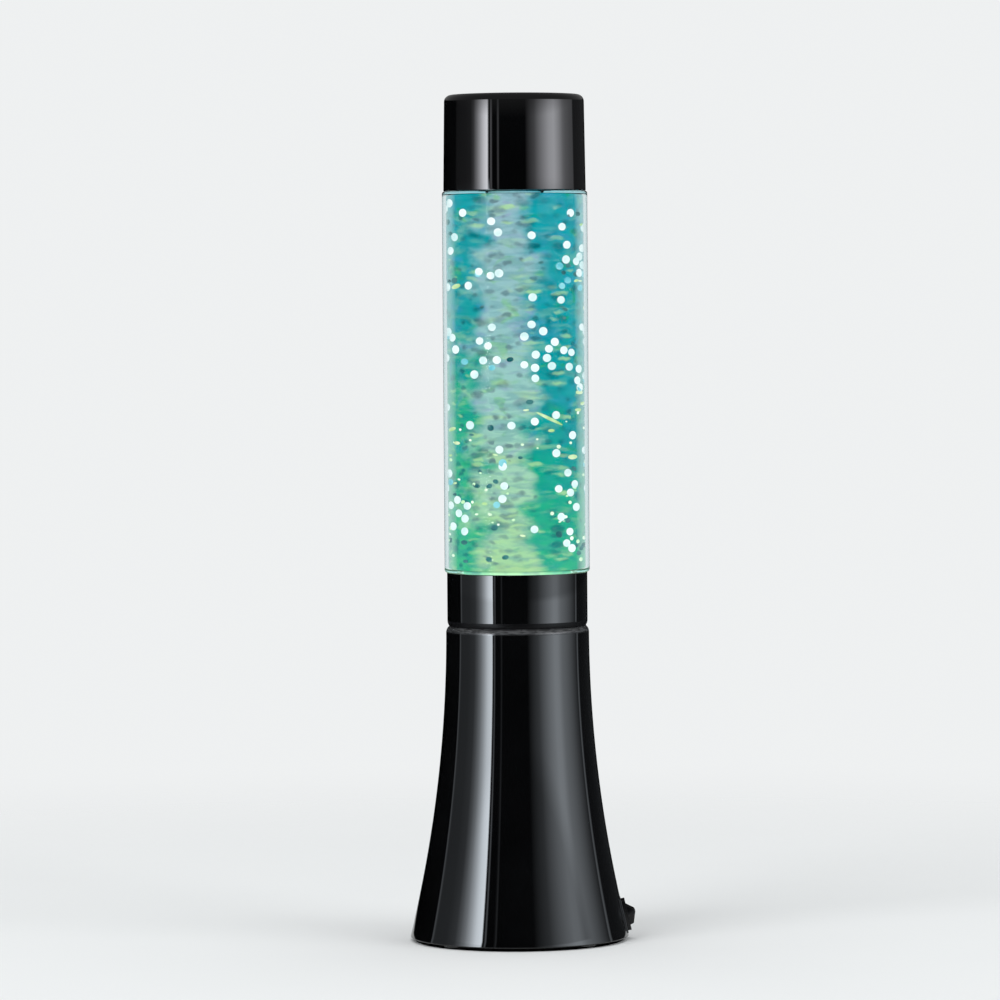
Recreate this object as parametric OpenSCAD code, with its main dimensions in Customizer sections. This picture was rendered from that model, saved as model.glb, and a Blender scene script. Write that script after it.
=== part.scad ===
// Glitter lamp: a flared base with a rocker switch, a clear bottle of glitter liquid on a collar,
// and a plain cap. A magnet drive in the base turns a stirrer in the bottle, and a ring of LEDs
// lights the liquid from below. Millimetres, Z up, with the origin on the floor under the middle
// of the base. The front is -Y and the switch is at +X.

/* [Base] */
// Diameter of the base at its rim
base_rim_d = 96; // [94:0.5:106]
// Diameter of the base below its shoulder
base_top_d = 62.6; // [61:0.2:66]
// Height of the base shell from rim to top
base_h = 136.5; // [126:0.5:160]
// Radius of the hollow flare, seen in section
flare_r = 560; // [450:10:1500]
// Wall of the base shell
base_wall = 2.4; // [1.8:0.1:3]
// Height of the rounded shoulder
shoulder_h = 2.8; // [1.5:0.1:4]
// Inset of the shoulder at its top
shoulder_in = 1.5; // [0.8:0.1:2]
// Bevel on the outer edge of the rim
rim_bevel = 0.6; // [0.3:0.1:1]
// Thickness of the deck that carries the LEDs and the motor
deck_t = 3; // [2:0.1:4]

/* [Feet and cover] */
// Diameter of a rubber foot
foot_d = 7; // [5:0.5:9]
// Height of a rubber foot
foot_h = 3; // [2.5:0.1:4]
// Depth of a foot's seat in the cover
foot_seat = 1; // [0.5:0.1:1.2]
// Height of the cover above the rim of the base
cover_inset = 0.5; // [0.2:0.1:0.8]
// Thickness of the bottom cover
cover_t = 2.4; // [2.2:0.1:3]
// Gap between the cover and the base
cover_gap = 0.3; // [0.2:0.05:0.6]
// Height of the pads round the cover's screws
cover_pad_h = 1.6; // [1:0.1:3]
// Length of the bosses that take the cover's screws
cover_boss_l = 20; // [12:0.5:24]

/* [Collar] */
// Diameter of the collar
collar_d = 61.4; // [59:0.1:62]
// Height of the collar
collar_h = 23.5; // [15:0.5:35]
// Wall of the collar
collar_wall = 2.9; // [2.4:0.1:3.6]
// Height of the rounded lower edge of the collar
groove_h = 2.4; // [1:0.1:4]
// Inset of the collar's lower edge
groove_in = 0.8; // [0.3:0.1:1.2]

/* [Bottle] */
// Diameter of the bottle
bottle_d = 63.5; // [62:0.1:68]
// Height of the bottle's straight body
bottle_h = 166.5; // [120:0.5:220]
// Wall of the bottle
bottle_wall = 3.2; // [2:0.1:4]
// Rounding of the bottle's outer edges
bottle_edge = 1.2; // [0.5:0.1:2]
// Thickness of the bottle's floor
floor_t = 3; // [2.5:0.1:4]
// Depth that the bottle reaches into the base
spigot_drop = 10; // [6:0.5:14]
// Gap between the bottle's spigot and the collar
collar_gap = 0.25; // [0.1:0.05:0.5]
// Gap between the bottle's spigot and its socket in the base
socket_gap = 0.35; // [0.2:0.05:0.6]
// Diameter of the neck
neck_d = 30; // [26:0.5:34]
// Height of the neck
neck_h = 17; // [13:0.5:22]
// Height of the air above the liquid in the neck
air_h = 4; // [1:0.5:8]

/* [Closure] */
// Wall of the screw closure
closure_wall = 2; // [1.5:0.1:3]
// Height of the closure's skirt
skirt_h = 11; // [7:0.5:13]
// Thickness of the seal in the closure
seal_t = 1.2; // [0.8:0.1:2]
// Number of grip grooves
grip_grooves = 30; // [12:1:40]
// Width of a grip groove
grip_groove_d = 1.2; // [0.8:0.1:1.6]

/* [Cap] */
// Height of the cap
cap_h = 42; // [34:0.5:60]
// Diameter of the cap at its lower edge
cap_rim_d = 62.2; // [60:0.1:63]
// Diameter of the cap at its top, before the edge is rounded
cap_top_d = 61; // [58:0.1:62]
// Rounding of the cap's top edge
cap_edge = 2.2; // [1:0.1:3]
// Wall of the cap
cap_wall = 2.2; // [1.8:0.1:3]
// Wall of the sleeve that centres the cap on the closure
sleeve_wall = 1.6; // [1.2:0.1:2.4]
// Gap between the sleeve and the closure
sleeve_gap = 0.3; // [0.2:0.05:0.6]
// Thickness of the ribs inside the cap
cap_rib_t = 1.4; // [1:0.1:2]
// Number of ribs inside the cap
cap_ribs = 6; // [3:1:8]

/* [Glitter] */
// Number of flakes
flakes = 150; // [20:1:200]
// Diameter of a flake
flake_d = 4; // [2:0.1:5]
// Thickness of a flake
flake_t = 0.2; // [0.1:0.05:0.4]

/* [Stirrer drive] */
// Diameter of the stirrer
stirrer_d = 30; // [26:0.5:36]
// Thickness of the stirrer's disc
stirrer_t = 5; // [4.5:0.1:8]
// Height of the stirrer's blades
blade_h = 5; // [3:0.1:9]
// Thickness of a blade
blade_t = 1.4; // [1:0.1:2]
// Number of blades
blades = 4; // [2:1:6]
// Diameter of the stirrer's hub
stirrer_hub_d = 7; // [5:0.1:8]
// Diameter of the stirrer's pin and of the motor shaft
pin_d = 2; // [1.5:0.1:2.5]
// Clearance between a pin and its bore, on the radius
pin_gap = 0.05; // [0.03:0.01:0.1]
// Diameter of a magnet
magnet_d = 8; // [5:0.1:9]
// Thickness of a magnet
magnet_t = 3.5; // [2:0.1:4]
// Distance between the middles of a pair of magnets
magnet_pitch = 17; // [16.5:0.1:17.5]
// Diameter of the magnet carrier
carrier_d = 27.4; // [27:0.1:29]
// Thickness of the magnet carrier
carrier_t = 6; // [5:0.1:8]
// Diameter of the magnet carrier's hub
carrier_hub_d = 8; // [5:0.1:10]
// Height of the magnet carrier's hub
carrier_hub_h = 3; // [2.5:0.1:3.5]
// Diameter of the motor
motor_d = 24; // [20:0.5:26]
// Length of the motor
motor_l = 18; // [12:0.5:24]
// Diameter of the motor's nose
motor_nose_d = 6; // [5:0.1:8]
// Wall of the cup that holds the motor
cup_wall = 1.6; // [1.2:0.1:2.4]
// Diameter of the ears and bosses of the motor cup
ear_d = 7.2; // [6:0.1:9]

/* [Lighting] */
// Thickness of the lens under the bottle
lens_t = 2.5; // [1.5:0.1:4]
// Width of the lens's seat
lens_seat = 1.3; // [0.8:0.1:2]
// Thickness of the LED board
board_t = 1.6; // [1:0.1:2]
// Height of the posts under the LED board
post_h = 3; // [2.5:0.1:5]
// Number of LEDs
leds_n = 6; // [3:3:9]
// Width of an LED
led_w = 5; // [3:0.1:5.5]
// Height of an LED
led_h = 1.6; // [1:0.1:3]

/* [Switch] */
// Height of the switch's middle above the floor
switch_z = 10.5; // [10.4:0.1:30]
// Width of the switch's bezel
bezel_w = 10; // [9.6:0.1:12]
// Length of the switch's bezel
bezel_l = 13.6; // [13.2:0.1:14]
// Thickness of the switch's bezel
bezel_t = 1.6; // [1:0.1:2.2]
// Width that the bezel covers round its hole
bezel_lip = 0.7; // [0.5:0.1:0.9]
// Wall of the switch's housing
housing_wall = 0.85; // [0.6:0.05:0.95]
// Depth of the housing behind the bezel
housing_depth = 6.5; // [5:0.1:6.6]
// Height of the rocker's ridge above its pivot
ridge_h = 4.6; // [3.4:0.1:5.4]
// Height of the rocker's ends above its pivot
rocker_end_h = 1.5; // [1:0.1:2]
// Gap round the rocker
rocker_gap = 0.2; // [0.15:0.05:0.35]
// Tilt of the rocker at rest
rock_angle = 15; // [8:1:18]

/* [Power] */
// Diameter of a cell
cell_d = 14.3; // [13.8:0.1:15]
// Length of a cell without its nub
cell_l = 49.2; // [46:0.1:51]
// Diameter of a cell's nub
nub_d = 5.2; // [4:0.1:6]
// Length of a cell's nub
nub_l = 1.3; // [1:0.1:1.8]
// Gap between two cells
cell_gap = 0.7; // [0.4:0.1:1.2]
// Length of a battery spring when a cell is in
spring_l = 5.6; // [5:0.1:7]
// Thickness of a contact plate
contact_t = 0.4; // [0.3:0.1:0.6]
// Height of a contact plate
contact_h = 9; // [7:0.1:9.5]
// Wall of the battery tub
tub_wall = 1.5; // [1.2:0.1:2]
// Thickness of the battery door
door_t = 1.9; // [1.6:0.1:2]
// Gap round the battery door
door_gap = 0.25; // [0.2:0.05:0.4]
// Diameter of a wire
wire_d = 1.5; // [1:0.1:2]

/* [Hidden] */

$fn = 72;
eps = 0.02;             // overrun that keeps a cut clean
flare_fn = 1440;        // facets of the large circle that cuts the flare
flare_over = 6;         // overrun of the area that the flare cuts

// Radii
base_rim_r = base_rim_d / 2;
base_top_r = base_top_d / 2;
collar_r = collar_d / 2;
bottle_r = bottle_d / 2;
bore_r = collar_r - collar_wall;
spigot_r = bore_r - collar_gap;
socket_r = spigot_r + socket_gap;
bottle_in_r = bottle_r - bottle_wall;
spigot_in_r = spigot_r - bottle_wall;
neck_r = neck_d / 2;
neck_in_r = neck_r - bottle_wall;
closure_gap = 0.2;
closure_r = neck_r + closure_gap + closure_wall;
shaft_r = pin_d / 2;
stirrer_r = stirrer_d / 2;
carrier_r = carrier_d / 2;
motor_r = motor_d / 2;
magnet_r = magnet_d / 2;

// Heights, from the floor up
cover_z = foot_h - foot_seat;
rim_z = cover_z - cover_inset;
cover_top_z = cover_z + cover_t;
boss_z = cover_top_z + cover_pad_h;
base_top_z = rim_z + base_h;
shoulder_z = base_top_z - shoulder_h;
collar_top_z = base_top_z + collar_h;
bottle_top_z = collar_top_z + bottle_h;
neck_top_z = bottle_top_z + neck_h;
fill_z = neck_top_z - air_h;
cap_top_z = bottle_top_z + cap_h;

// Heights in the socket, from the bottle down
lens_gap = 0.5;         // under the bottle, and round the lens
carrier_gap = 1;        // over and round the magnet carrier
spigot_z = base_top_z - spigot_drop;
floor_z = spigot_z + floor_t;
lens_top_z = spigot_z - lens_gap;
lens_z = lens_top_z - lens_t;
carrier_top_z = lens_z - carrier_gap;
carrier_z = carrier_top_z - carrier_t;
board_z = carrier_z - carrier_gap;
deck_top_z = board_z - post_h;
deck_z = deck_top_z - deck_t;
motor_z = deck_z - motor_l;

// Lens, board and posts
lens_r = socket_r - socket_gap / 2;
well_r = socket_r - lens_seat;
board_r = well_r - carrier_gap / 2;
board_in_r = carrier_r + carrier_gap;
ring_r = (board_r + board_in_r) / 2;
posts = 3;
post_d = 5.6;
post_turn = 30;         // angle of the first post
led_dish_d = led_w * 0.76;
led_dish = 0.3;
board_hole_gap = 0.2;

// Flare: the centre of the circle through the rim and the shoulder
flare_run = base_rim_r - base_top_r;
flare_rise = shoulder_z - rim_z;
flare_chord = norm([flare_run, flare_rise]);
flare_reach = sqrt(flare_r * flare_r - flare_chord * flare_chord / 4);
flare_x = (base_rim_r + base_top_r) / 2 + flare_reach * flare_rise / flare_chord;
flare_z = (rim_z + shoulder_z) / 2 + flare_reach * flare_run / flare_chord;

// Outer radius of the base at a height, or of a face inset from it
function wall_r(z, inset = 0) = flare_x - sqrt(pow(flare_r + inset, 2) - pow(flare_z - z, 2));
// Angle of the base's wall from upright at a height
function wall_lean(z) = asin((flare_z - z) / flare_r);
// Radius of the arc that turns in by an inset over a height, upright where it starts
function edge_arc_r(h, inset) = (h * h + inset * inset) / (2 * inset);

// Bottom cover, its screws and the feet
cover_r = wall_r(cover_top_z, base_wall) - cover_gap;
screw_d = 2.6;
screw_hole_d = 3.2;
screw_head_d = 5.2;
screw_head_h = 1.6;
screw_bite = 12;        // length of a cover screw in its boss
pilot_gap = 0.05;
pilot_over = 1;         // depth of a pilot hole past its screw
head_gap = 0.4;         // over and round the head of a cover screw
boss_d = 7.2;
pad_d = boss_d + 1;     // pads round the cover's screws
boss_ring_r = cover_r - boss_d;
boss_angles = [20, 160, 200, 340];
foot_edge = 1.2;        // from a foot to the cover's edge
foot_bevel = 0.4;
foot_ring_r = cover_r - foot_d / 2 - foot_edge;
foot_door_gap = 2;      // from a foot to the hole of the battery door
small_screw_d = 2;
small_head_d = 3.8;
small_head_h = 1.2;

// Switch
pad_rise = 0.2;         // the flat stands this far off the curved wall
pad_edge = 0.9;         // width of the flat round the bezel
bezel_corner = 1;
body_corner = 0.5;
housing_gap = 0.3;      // between the housing and the cover
switch_lean = wall_lean(switch_z);
housing_w = bezel_w - 2 * bezel_lip;
housing_l = bezel_l - 2 * bezel_lip;
panel_gap = 0.1;
mouth_w = housing_w - 2 * housing_wall;
mouth_l = housing_l - 2 * housing_wall;
mouth_depth = 4.6;
pivot_n = 0.5;          // pivot's distance out from the flat
pivot_r = 0.9;
pivot_l = 0.8;
barrel_r = 2.1;
rocker_w = mouth_w - 2 * rocker_gap;
rocker_l = 2 * ((mouth_l / 2 - rocker_gap) - rocker_end_h * sin(rock_angle)) / cos(rock_angle);
rocker_back = 0.8;
ridge_flat = 1;
blade_w = 4;
blade_l = 5.2;
blade_thick = 0.7;
blade_rise = 3.6;       // from the middle terminal to the upper one

// Battery bay
cells = 3;
cell_pitch = cell_d + cell_gap;
bay_w = cells * cell_pitch + cell_gap;
bay_l = cell_l + nub_l + spring_l + 2 * contact_t;
cell_z = cover_top_z + cell_gap + cell_d / 2;
bay_gap = 0.3;          // over the cells
bay_top_z = cell_z + cell_d / 2 + bay_gap;
door_ledge = tub_wall - bay_gap;
door_hole_w = bay_w + 2 * door_ledge;
door_hole_l = bay_l + 2 * door_ledge;
foot_turn = acos((door_hole_w / 2 + foot_door_gap + foot_d / 2) / foot_ring_r);
foot_angles = [foot_turn, 180 - foot_turn, 180 + foot_turn, 360 - foot_turn];
ledge_z = cover_z + door_t;
tab_x = cell_pitch / 2;
tab_w = 5;
tab_t = 1.2;
tab_gap = 0.4;          // from the cover up to a tab
tab_z = cover_top_z + tab_gap;
tab_reach = 3;          // length of a tab past the door's edge
tab_slot_top = tab_z + tab_t + 1.6;
tub_rib_t = 1;
tub_rib_h = 2.8;
spring_wire_d = 0.8;
spring_turns = 3.5;
spring_gap = 0.05;      // at each end of a spring
spring_seat_d = 8.8;
spring_tip_d = 5.6;
tag_w = 3;
tag_l = 2;
tag_z = cell_z + contact_h / 2 - 1;
tag_gap = 0.2;
latch_t = 1;
latch_h = 3;            // height of the latch finger over the door
door_corner = 0.5;
grip_lines = 3;
grip_line_w = 1;
grip_line_depth = 0.6;
grip_from = 5;          // from the bay's end to the first grip line

// Motor cup
cup_gap = 0.2;
cup_lip = 2.4;
ear_gap = 0.3;          // between the cup and the bosses for its ears
ear_r = motor_r + cup_gap + cup_wall + ear_gap + ear_d / 2;
ear_boss_l = 8;
ear_t = 2.5;
ear_screw_bite = 6;
wire_hole_d = 5;
cup_depth = 12.6;       // length of the motor that the cup holds
rear_boss_h = 1;
motor_tag_x = motor_r * 0.55;
motor_tag_l = 3;
motor_tag_w = 2.4;
motor_tag_t = 0.6;
shaft_gap = 0.3;        // under the end of the motor shaft
shaft_seat = 3;         // length of the shaft in the carrier's disc

// Rounded rectangle round the origin
module rounded_rect(w, l, r) {
    square([w - 2 * r, l], center = true);
    square([w, l - 2 * r], center = true);
    for (x = [-1, 1], y = [-1, 1])
        translate([x * (w / 2 - r), y * (l / 2 - r)]) circle(r = r);
}

// Area from the axis to the flared wall, or to a face inset from it
module flare_area(inset, from_z, to_z) {
    difference() {
        translate([0, from_z]) square([base_rim_r + flare_over, to_z - from_z]);
        translate([flare_x, flare_z]) circle(r = flare_r + inset, $fn = flare_fn);
    }
}

// Area from the axis to an edge that turns in by an inset over a height
module turned_in(r, h, inset) {
    arc_r = edge_arc_r(h, inset);
    square([r - arc_r, h]);
    intersection() {
        translate([r - arc_r, 0]) circle(r = arc_r, $fn = 256);
        translate([r - arc_r, 0]) square([arc_r, h]);
    }
}

// Pan head screw with its head down and its shank up, from the underside of the head at z = 0
module screw(d, l, head_d, head_h) {
    difference() {
        union() {
            translate([0, 0, -head_h]) cylinder(d = head_d, h = head_h);
            cylinder(d = d, h = l);
        }
        for (turn = [0, 90])
            rotate([0, 0, turn]) translate([-head_d / 3, -0.4, -head_h - eps])
                cube([head_d / 1.5, 0.8, head_h / 2 + eps]);
    }
}

// Copies on a ring at the given angles
module on_ring(r, angles) {
    for (a = angles) rotate([0, 0, a]) translate([r, 0, 0]) children();
}

// Moves the switch's own frame, X out and Z up the wall, to its flat on the base
module at_switch() {
    translate([wall_r(switch_z), 0, switch_z])
        rotate([0, -switch_lean, 0]) translate([pad_rise, 0, 0]) children();
}

// Plate of a rounded rectangle in the switch's frame, from one distance out to another
module switch_plate(w, l, r, from_n, to_n) {
    translate([from_n, 0, 0]) rotate([90, 0, 90])
        linear_extrude(to_n - from_n) rounded_rect(w, l, r);
}

function unit(v) = v / norm(v);
// Side vectors carried along a path without twist
function carried(t, u, i = 0) = i == len(t) ? [] :
    let (v = unit(u - (u * t[i]) * t[i])) concat([v], carried(t, v, i + 1));
// Points of a smooth curve through a route's points
function smooth(p, n) = concat([for (i = [0:len(p) - 2], k = [0:n - 1])
    let (s = k / n, a = p[max(i - 1, 0)], b = p[i], c = p[i + 1], d = p[min(i + 2, len(p) - 1)])
    0.5 * (2 * b + (c - a) * s + (2 * a - 5 * b + 4 * c - d) * s * s
        + (3 * b - a - 3 * c + d) * s * s * s)], [p[len(p) - 1]]);

// Round tube swept along a path
module tube(path, d, sides) {
    n = len(path);
    t = [for (i = [0:n - 1]) unit(path[min(i + 1, n - 1)] - path[max(i - 1, 0)])];
    side = carried(t, abs(t[0].z) < 0.8 ? [0, 0, 1] : [1, 0, 0]);
    points = [for (i = [0:n - 1], k = [0:sides - 1])
        path[i] + d / 2 * (cos(360 * k / sides) * side[i]
            + sin(360 * k / sides) * cross(t[i], side[i]))];
    walls = [for (i = [0:n - 2], k = [0:sides - 1])
        let (a = i * sides + k, b = i * sides + (k + 1) % sides)
        each [[a, a + sides, b + sides], [a, b + sides, b]]];
    ends = [[for (k = [0:sides - 1]) k], [for (k = [sides - 1:-1:0]) (n - 1) * sides + k]];
    polyhedron(points, concat(walls, ends));
}

// Base shell: flared wall, deck, lens seat, socket, bosses and the flat for the switch
module base_shell() color("#101113") {
    difference() {
        union() {
            difference() {
                rotate_extrude($fn = 144) base_section();
                at_switch() switch_plate(bezel_w, bezel_l, bezel_corner, -2 * base_wall, 2 * base_wall);
            }
            intersection() {
                at_switch() switch_plate(bezel_w + 2 * pad_edge, bezel_l + 2 * pad_edge,
                    bezel_corner + pad_edge, -base_wall - pad_rise, 0);
                translate([0, 0, rim_z]) cylinder(r = 2 * base_rim_r, h = base_h);
            }
            intersection() {
                union() {
                    on_ring(boss_ring_r, boss_angles)
                        translate([0, 0, boss_z]) cylinder(d = boss_d, h = cover_boss_l);
                    for (a = boss_angles) rotate([0, 0, a])
                        translate([boss_ring_r, -base_wall / 3, boss_z])
                            cube([boss_d * 1.5, base_wall / 1.5, cover_boss_l]);
                }
                rotate_extrude($fn = 144) flare_area(base_wall / 2, rim_z, deck_z);
            }
            for (y = [-ear_r, ear_r])
                translate([0, y, deck_z - ear_boss_l]) cylinder(d = ear_d, h = ear_boss_l + eps);
            on_ring(ring_r, [for (i = [0:posts - 1]) post_turn + i * 360 / posts])
                translate([0, 0, deck_top_z - eps]) cylinder(d = post_d, h = post_h + eps);
        }
        at_switch() switch_plate(housing_w + 2 * panel_gap, housing_l + 2 * panel_gap,
            body_corner + panel_gap, -3 * base_wall, base_wall);
        on_ring(boss_ring_r, boss_angles)
            translate([0, 0, boss_z - eps])
                cylinder(d = screw_d + 2 * pilot_gap, h = screw_bite + pilot_over);
        for (y = [-ear_r, ear_r])
            translate([0, y, deck_z - ear_boss_l - eps])
                cylinder(d = screw_d + 2 * pilot_gap, h = ear_screw_bite + pilot_over);
        on_ring(ring_r, [for (i = [0:posts - 1]) post_turn + i * 360 / posts])
            translate([0, 0, deck_top_z - pilot_over])
                cylinder(d = small_screw_d + 2 * pilot_gap, h = post_h + 2 * pilot_over);
        on_ring(ring_r, [0, 180])
            translate([0, 0, deck_z - eps]) cylinder(d = wire_hole_d, h = deck_t + 2 * eps);
    }
}

// Half section of the base
module base_section() {
    difference() {
        union() {
            flare_area(0, rim_z, shoulder_z);
            translate([0, shoulder_z]) turned_in(base_top_r, shoulder_h, shoulder_in);
        }
        flare_area(base_wall, rim_z - 1, deck_z);
        translate([0, deck_top_z]) square([well_r, base_h]);
        translate([0, lens_z]) square([socket_r, base_h]);
        translate([0, deck_z - 1]) square([motor_nose_d / 2 + cup_gap, deck_t + 2]);
        polygon([[base_rim_r - rim_bevel, rim_z], [base_rim_r + rim_bevel, rim_z + 2 * rim_bevel],
            [base_rim_r + rim_bevel, rim_z - rim_bevel], [base_rim_r - rim_bevel, rim_z - rim_bevel]]);
    }
}

// Bottom cover: plate with screw pads, foot seats and the tub of the battery bay
module bottom_cover() color("#1b1c1e") {
    tub_l = bay_l + 2 * tub_wall;
    difference() {
        union() {
            translate([0, 0, cover_z]) cylinder(r = cover_r, h = cover_t, $fn = 144);
            on_ring(boss_ring_r, boss_angles)
                translate([0, 0, cover_z]) cylinder(d = pad_d, h = cover_t + cover_pad_h);
            translate([-bay_w / 2 - tub_wall, -tub_l / 2, cover_z])
                cube([bay_w + 2 * tub_wall, tub_l, bay_top_z + tub_wall - cover_z]);
        }
        difference() {
            translate([-bay_w / 2, -bay_l / 2, cover_z - eps])
                cube([bay_w, bay_l, bay_top_z - cover_z + eps]);
            for (i = [1:cells - 1])
                translate([(i - cells / 2) * cell_pitch - tub_rib_t / 2, -cell_l / 4,
                        bay_top_z - tub_rib_h])
                    cube([tub_rib_t, cell_l / 2, tub_rib_h + 1]);
        }
        translate([-door_hole_w / 2, -door_hole_l / 2, cover_z - eps])
            cube([door_hole_w, door_hole_l, door_t + eps]);
        for (x = [-tab_x, tab_x])
            translate([x - tab_w / 2 - door_gap, -tub_l / 2 - 1, cover_top_z])
                cube([tab_w + 2 * door_gap, tub_wall + 2, tab_slot_top - cover_top_z]);
        for (side = [-1, 1])
            translate([-side * cell_pitch - tag_w / 2 - tag_gap,
                    side * (bay_l / 2 + tub_wall / 2) - tub_wall, tag_z - tag_gap])
                cube([tag_w + 2 * tag_gap, 2 * tub_wall, contact_t + 2 * tag_gap]);
        on_ring(boss_ring_r, boss_angles) translate([0, 0, cover_z - eps]) {
            cylinder(d = screw_hole_d, h = cover_t + cover_pad_h + 1);
            cylinder(d = screw_head_d + 2 * head_gap, h = screw_head_h + head_gap);
        }
        on_ring(foot_ring_r, foot_angles)
            translate([0, 0, cover_z - eps]) cylinder(d = foot_d, h = foot_seat + eps);
        at_switch() switch_plate(housing_w + 2 * housing_gap, housing_l + 2 * housing_gap,
            body_corner + housing_gap, -housing_depth - housing_gap, base_wall);
    }
}

// Screws that hold the cover
module cover_screws() color("#9a9da1")
    on_ring(boss_ring_r, boss_angles)
        translate([0, 0, cover_z + screw_head_h + head_gap - eps])
            screw(screw_d, boss_z + screw_bite - cover_z - screw_head_h - head_gap,
                screw_head_d, screw_head_h);

// Rubber feet in their seats
module rubber_feet() color("#222222")
    on_ring(foot_ring_r, foot_angles) {
        translate([0, 0, foot_bevel]) cylinder(d = foot_d, h = foot_h - foot_bevel);
        cylinder(d1 = foot_d - 2 * foot_bevel, d2 = foot_d, h = foot_bevel);
    }

// Battery door with two tabs, a latch finger and grip lines
module battery_door() color("#1b1c1e") {
    w = door_hole_w - 2 * door_gap;
    l = door_hole_l - 2 * door_gap;
    difference() {
        union() {
            translate([0, 0, cover_z]) linear_extrude(door_t) rounded_rect(w, l, door_corner);
            for (x = [-tab_x, tab_x]) {
                translate([x - tab_w / 2, -l / 2 - tab_reach, tab_z])
                    cube([tab_w, tab_reach + 3 * tab_t + door_ledge, tab_t]);
                translate([x - tab_w / 2, -bay_l / 2 + door_gap, cover_z])
                    cube([tab_w, 2 * tab_t, tab_z + tab_t - cover_z]);
            }
            translate([-tab_w, bay_l / 2 - door_gap - latch_t, cover_z])
                cube([2 * tab_w, latch_t, door_t + latch_h]);
        }
        for (i = [0:grip_lines - 1])
            translate([-tab_w, bay_l / 2 - grip_from - 2 * i * grip_line_w, cover_z - eps])
                cube([2 * tab_w, grip_line_w, grip_line_depth]);
    }
}

// Three cells, the middle one turned round
module battery_cells() {
    for (i = [0:cells - 1])
        translate([(i - (cells - 1) / 2) * cell_pitch, 0, cell_z])
            rotate([0, 0, 180 * (i % 2)]) translate([0, bay_l / 2 - contact_t, 0])
                rotate([90, 0, 0]) {
                    color("#c9a227") cylinder(d = nub_d, h = nub_l + eps);
                    color("#2f3a3a") translate([0, 0, nub_l]) cylinder(d = cell_d, h = cell_l);
                }
}

// Contact plates: a single plate and a bridging plate at each end, with solder tags
module battery_contacts() color("#c8c9cc")
    for (side = [0, 180])
        rotate([0, 0, side]) translate([0, bay_l / 2 - contact_t, 0]) {
            single_x = -(cells - 1) / 2 * cell_pitch;
            translate([single_x - cell_d / 3, 0, cell_z - contact_h / 2])
                cube([cell_d / 1.5, contact_t, contact_h]);
            translate([-cell_d / 3, 0, cell_z - contact_h / 2])
                cube([cell_pitch + cell_d / 1.5, contact_t, contact_h]);
            translate([single_x - tag_w / 2, 0, tag_z])
                cube([tag_w, contact_t + tub_wall + tag_l, contact_t]);
        }

// Conical spring along Y, from its seat at y = 0
function spring_path() = let (steps = round(spring_turns * 8),
    run = spring_l - spring_wire_d - 2 * spring_gap)
    [for (i = [0:steps]) let (s = i / steps,
        r = (spring_seat_d * (1 - s) + spring_tip_d * s - spring_wire_d) / 2)
        [r * cos(45 * i), spring_wire_d / 2 + spring_gap + run * s, r * sin(45 * i)]];

// One spring at the flat end of each cell
module battery_springs() color("#d5d6d8")
    for (i = [0:cells - 1])
        translate([(i - (cells - 1) / 2) * cell_pitch, 0, cell_z])
            rotate([0, 0, 180 * (i % 2)]) translate([0, -bay_l / 2 + contact_t, 0])
                tube(spring_path(), spring_wire_d, 6);

// Switch housing: bezel, body and the mouth that the rocker tips in
module switch_housing() color("#0d0d0e")
    at_switch() difference() {
        union() {
            switch_plate(bezel_w, bezel_l, bezel_corner, 0, bezel_t);
            switch_plate(housing_w, housing_l, body_corner, -housing_depth, eps);
        }
        switch_plate(mouth_w, mouth_l, body_corner / 2, -mouth_depth, bezel_t + eps);
        translate([pivot_n, 0, 0]) rotate([90, 0, 0])
            cylinder(r = pivot_r + pin_gap, h = mouth_w + 2 * (pivot_l + panel_gap), center = true);
    }

// Terminal blades behind the housing
module switch_terminals() color("#cfa94a")
    at_switch() for (z = [0, blade_rise])
        translate([-housing_depth - blade_l, -blade_w / 2, z - blade_thick / 2])
            cube([blade_l, blade_w, blade_thick]);

// Rocker with its ridge, barrel and pivots, lower end out
module switch_rocker() color("#0a0a0b")
    at_switch() translate([pivot_n, 0, 0]) rotate([0, -rock_angle, 0]) {
        rotate([90, 0, 0]) linear_extrude(rocker_w, center = true) {
            polygon([[-rocker_back, -rocker_l / 2], [rocker_end_h, -rocker_l / 2],
                [ridge_h, -ridge_flat / 2], [ridge_h, ridge_flat / 2],
                [rocker_end_h, rocker_l / 2], [-rocker_back, rocker_l / 2]]);
            circle(r = barrel_r);
        }
        rotate([90, 0, 0]) cylinder(r = pivot_r, h = mouth_w + 2 * pivot_l, center = true);
    }

// A point in the switch's frame, in the lamp's own frame
function from_switch(n, y, z) = [
    wall_r(switch_z) + (n + pad_rise) * cos(switch_lean) - z * sin(switch_lean), y,
    switch_z + (n + pad_rise) * sin(switch_lean) + z * cos(switch_lean)];
// A point at an angle and a height, hugging the inside of the wall
function by_wall(a, z) = let (r = wall_r(z, base_wall) - wire_clear) [r * cos(a), r * sin(a), z];
// A point, brought in to where it hugs the wall if it lies further out
function kept_in(p) = let (r = norm([p.x, p.y]), most = wall_r(p.z, base_wall) - wire_clear)
    r > most ? [p.x * most / r, p.y * most / r, p.z] : p;

wire_clear = 2.5;                       // from the wall to a wire's middle line
wire_gap = 0.2;                         // between a wire's end and the board
wire_end = wire_d / 2 + wire_gap;       // a wire's middle line ends this far from a tag or a blade
wire_pair = 1.3;                        // half the distance between two wires in one hole
tag_y = bay_l / 2 + tub_wall + tag_l;
blade_tip_n = -housing_depth - blade_l;
tub_side = bay_w / 2 + tub_wall + 3;    // route beside the battery tub
feed_z = bay_top_z + 8;                 // height at which the feeds leave the battery bay
turn_z = deck_z - 16;                   // height at which the feeds turn in to their hole

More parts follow.
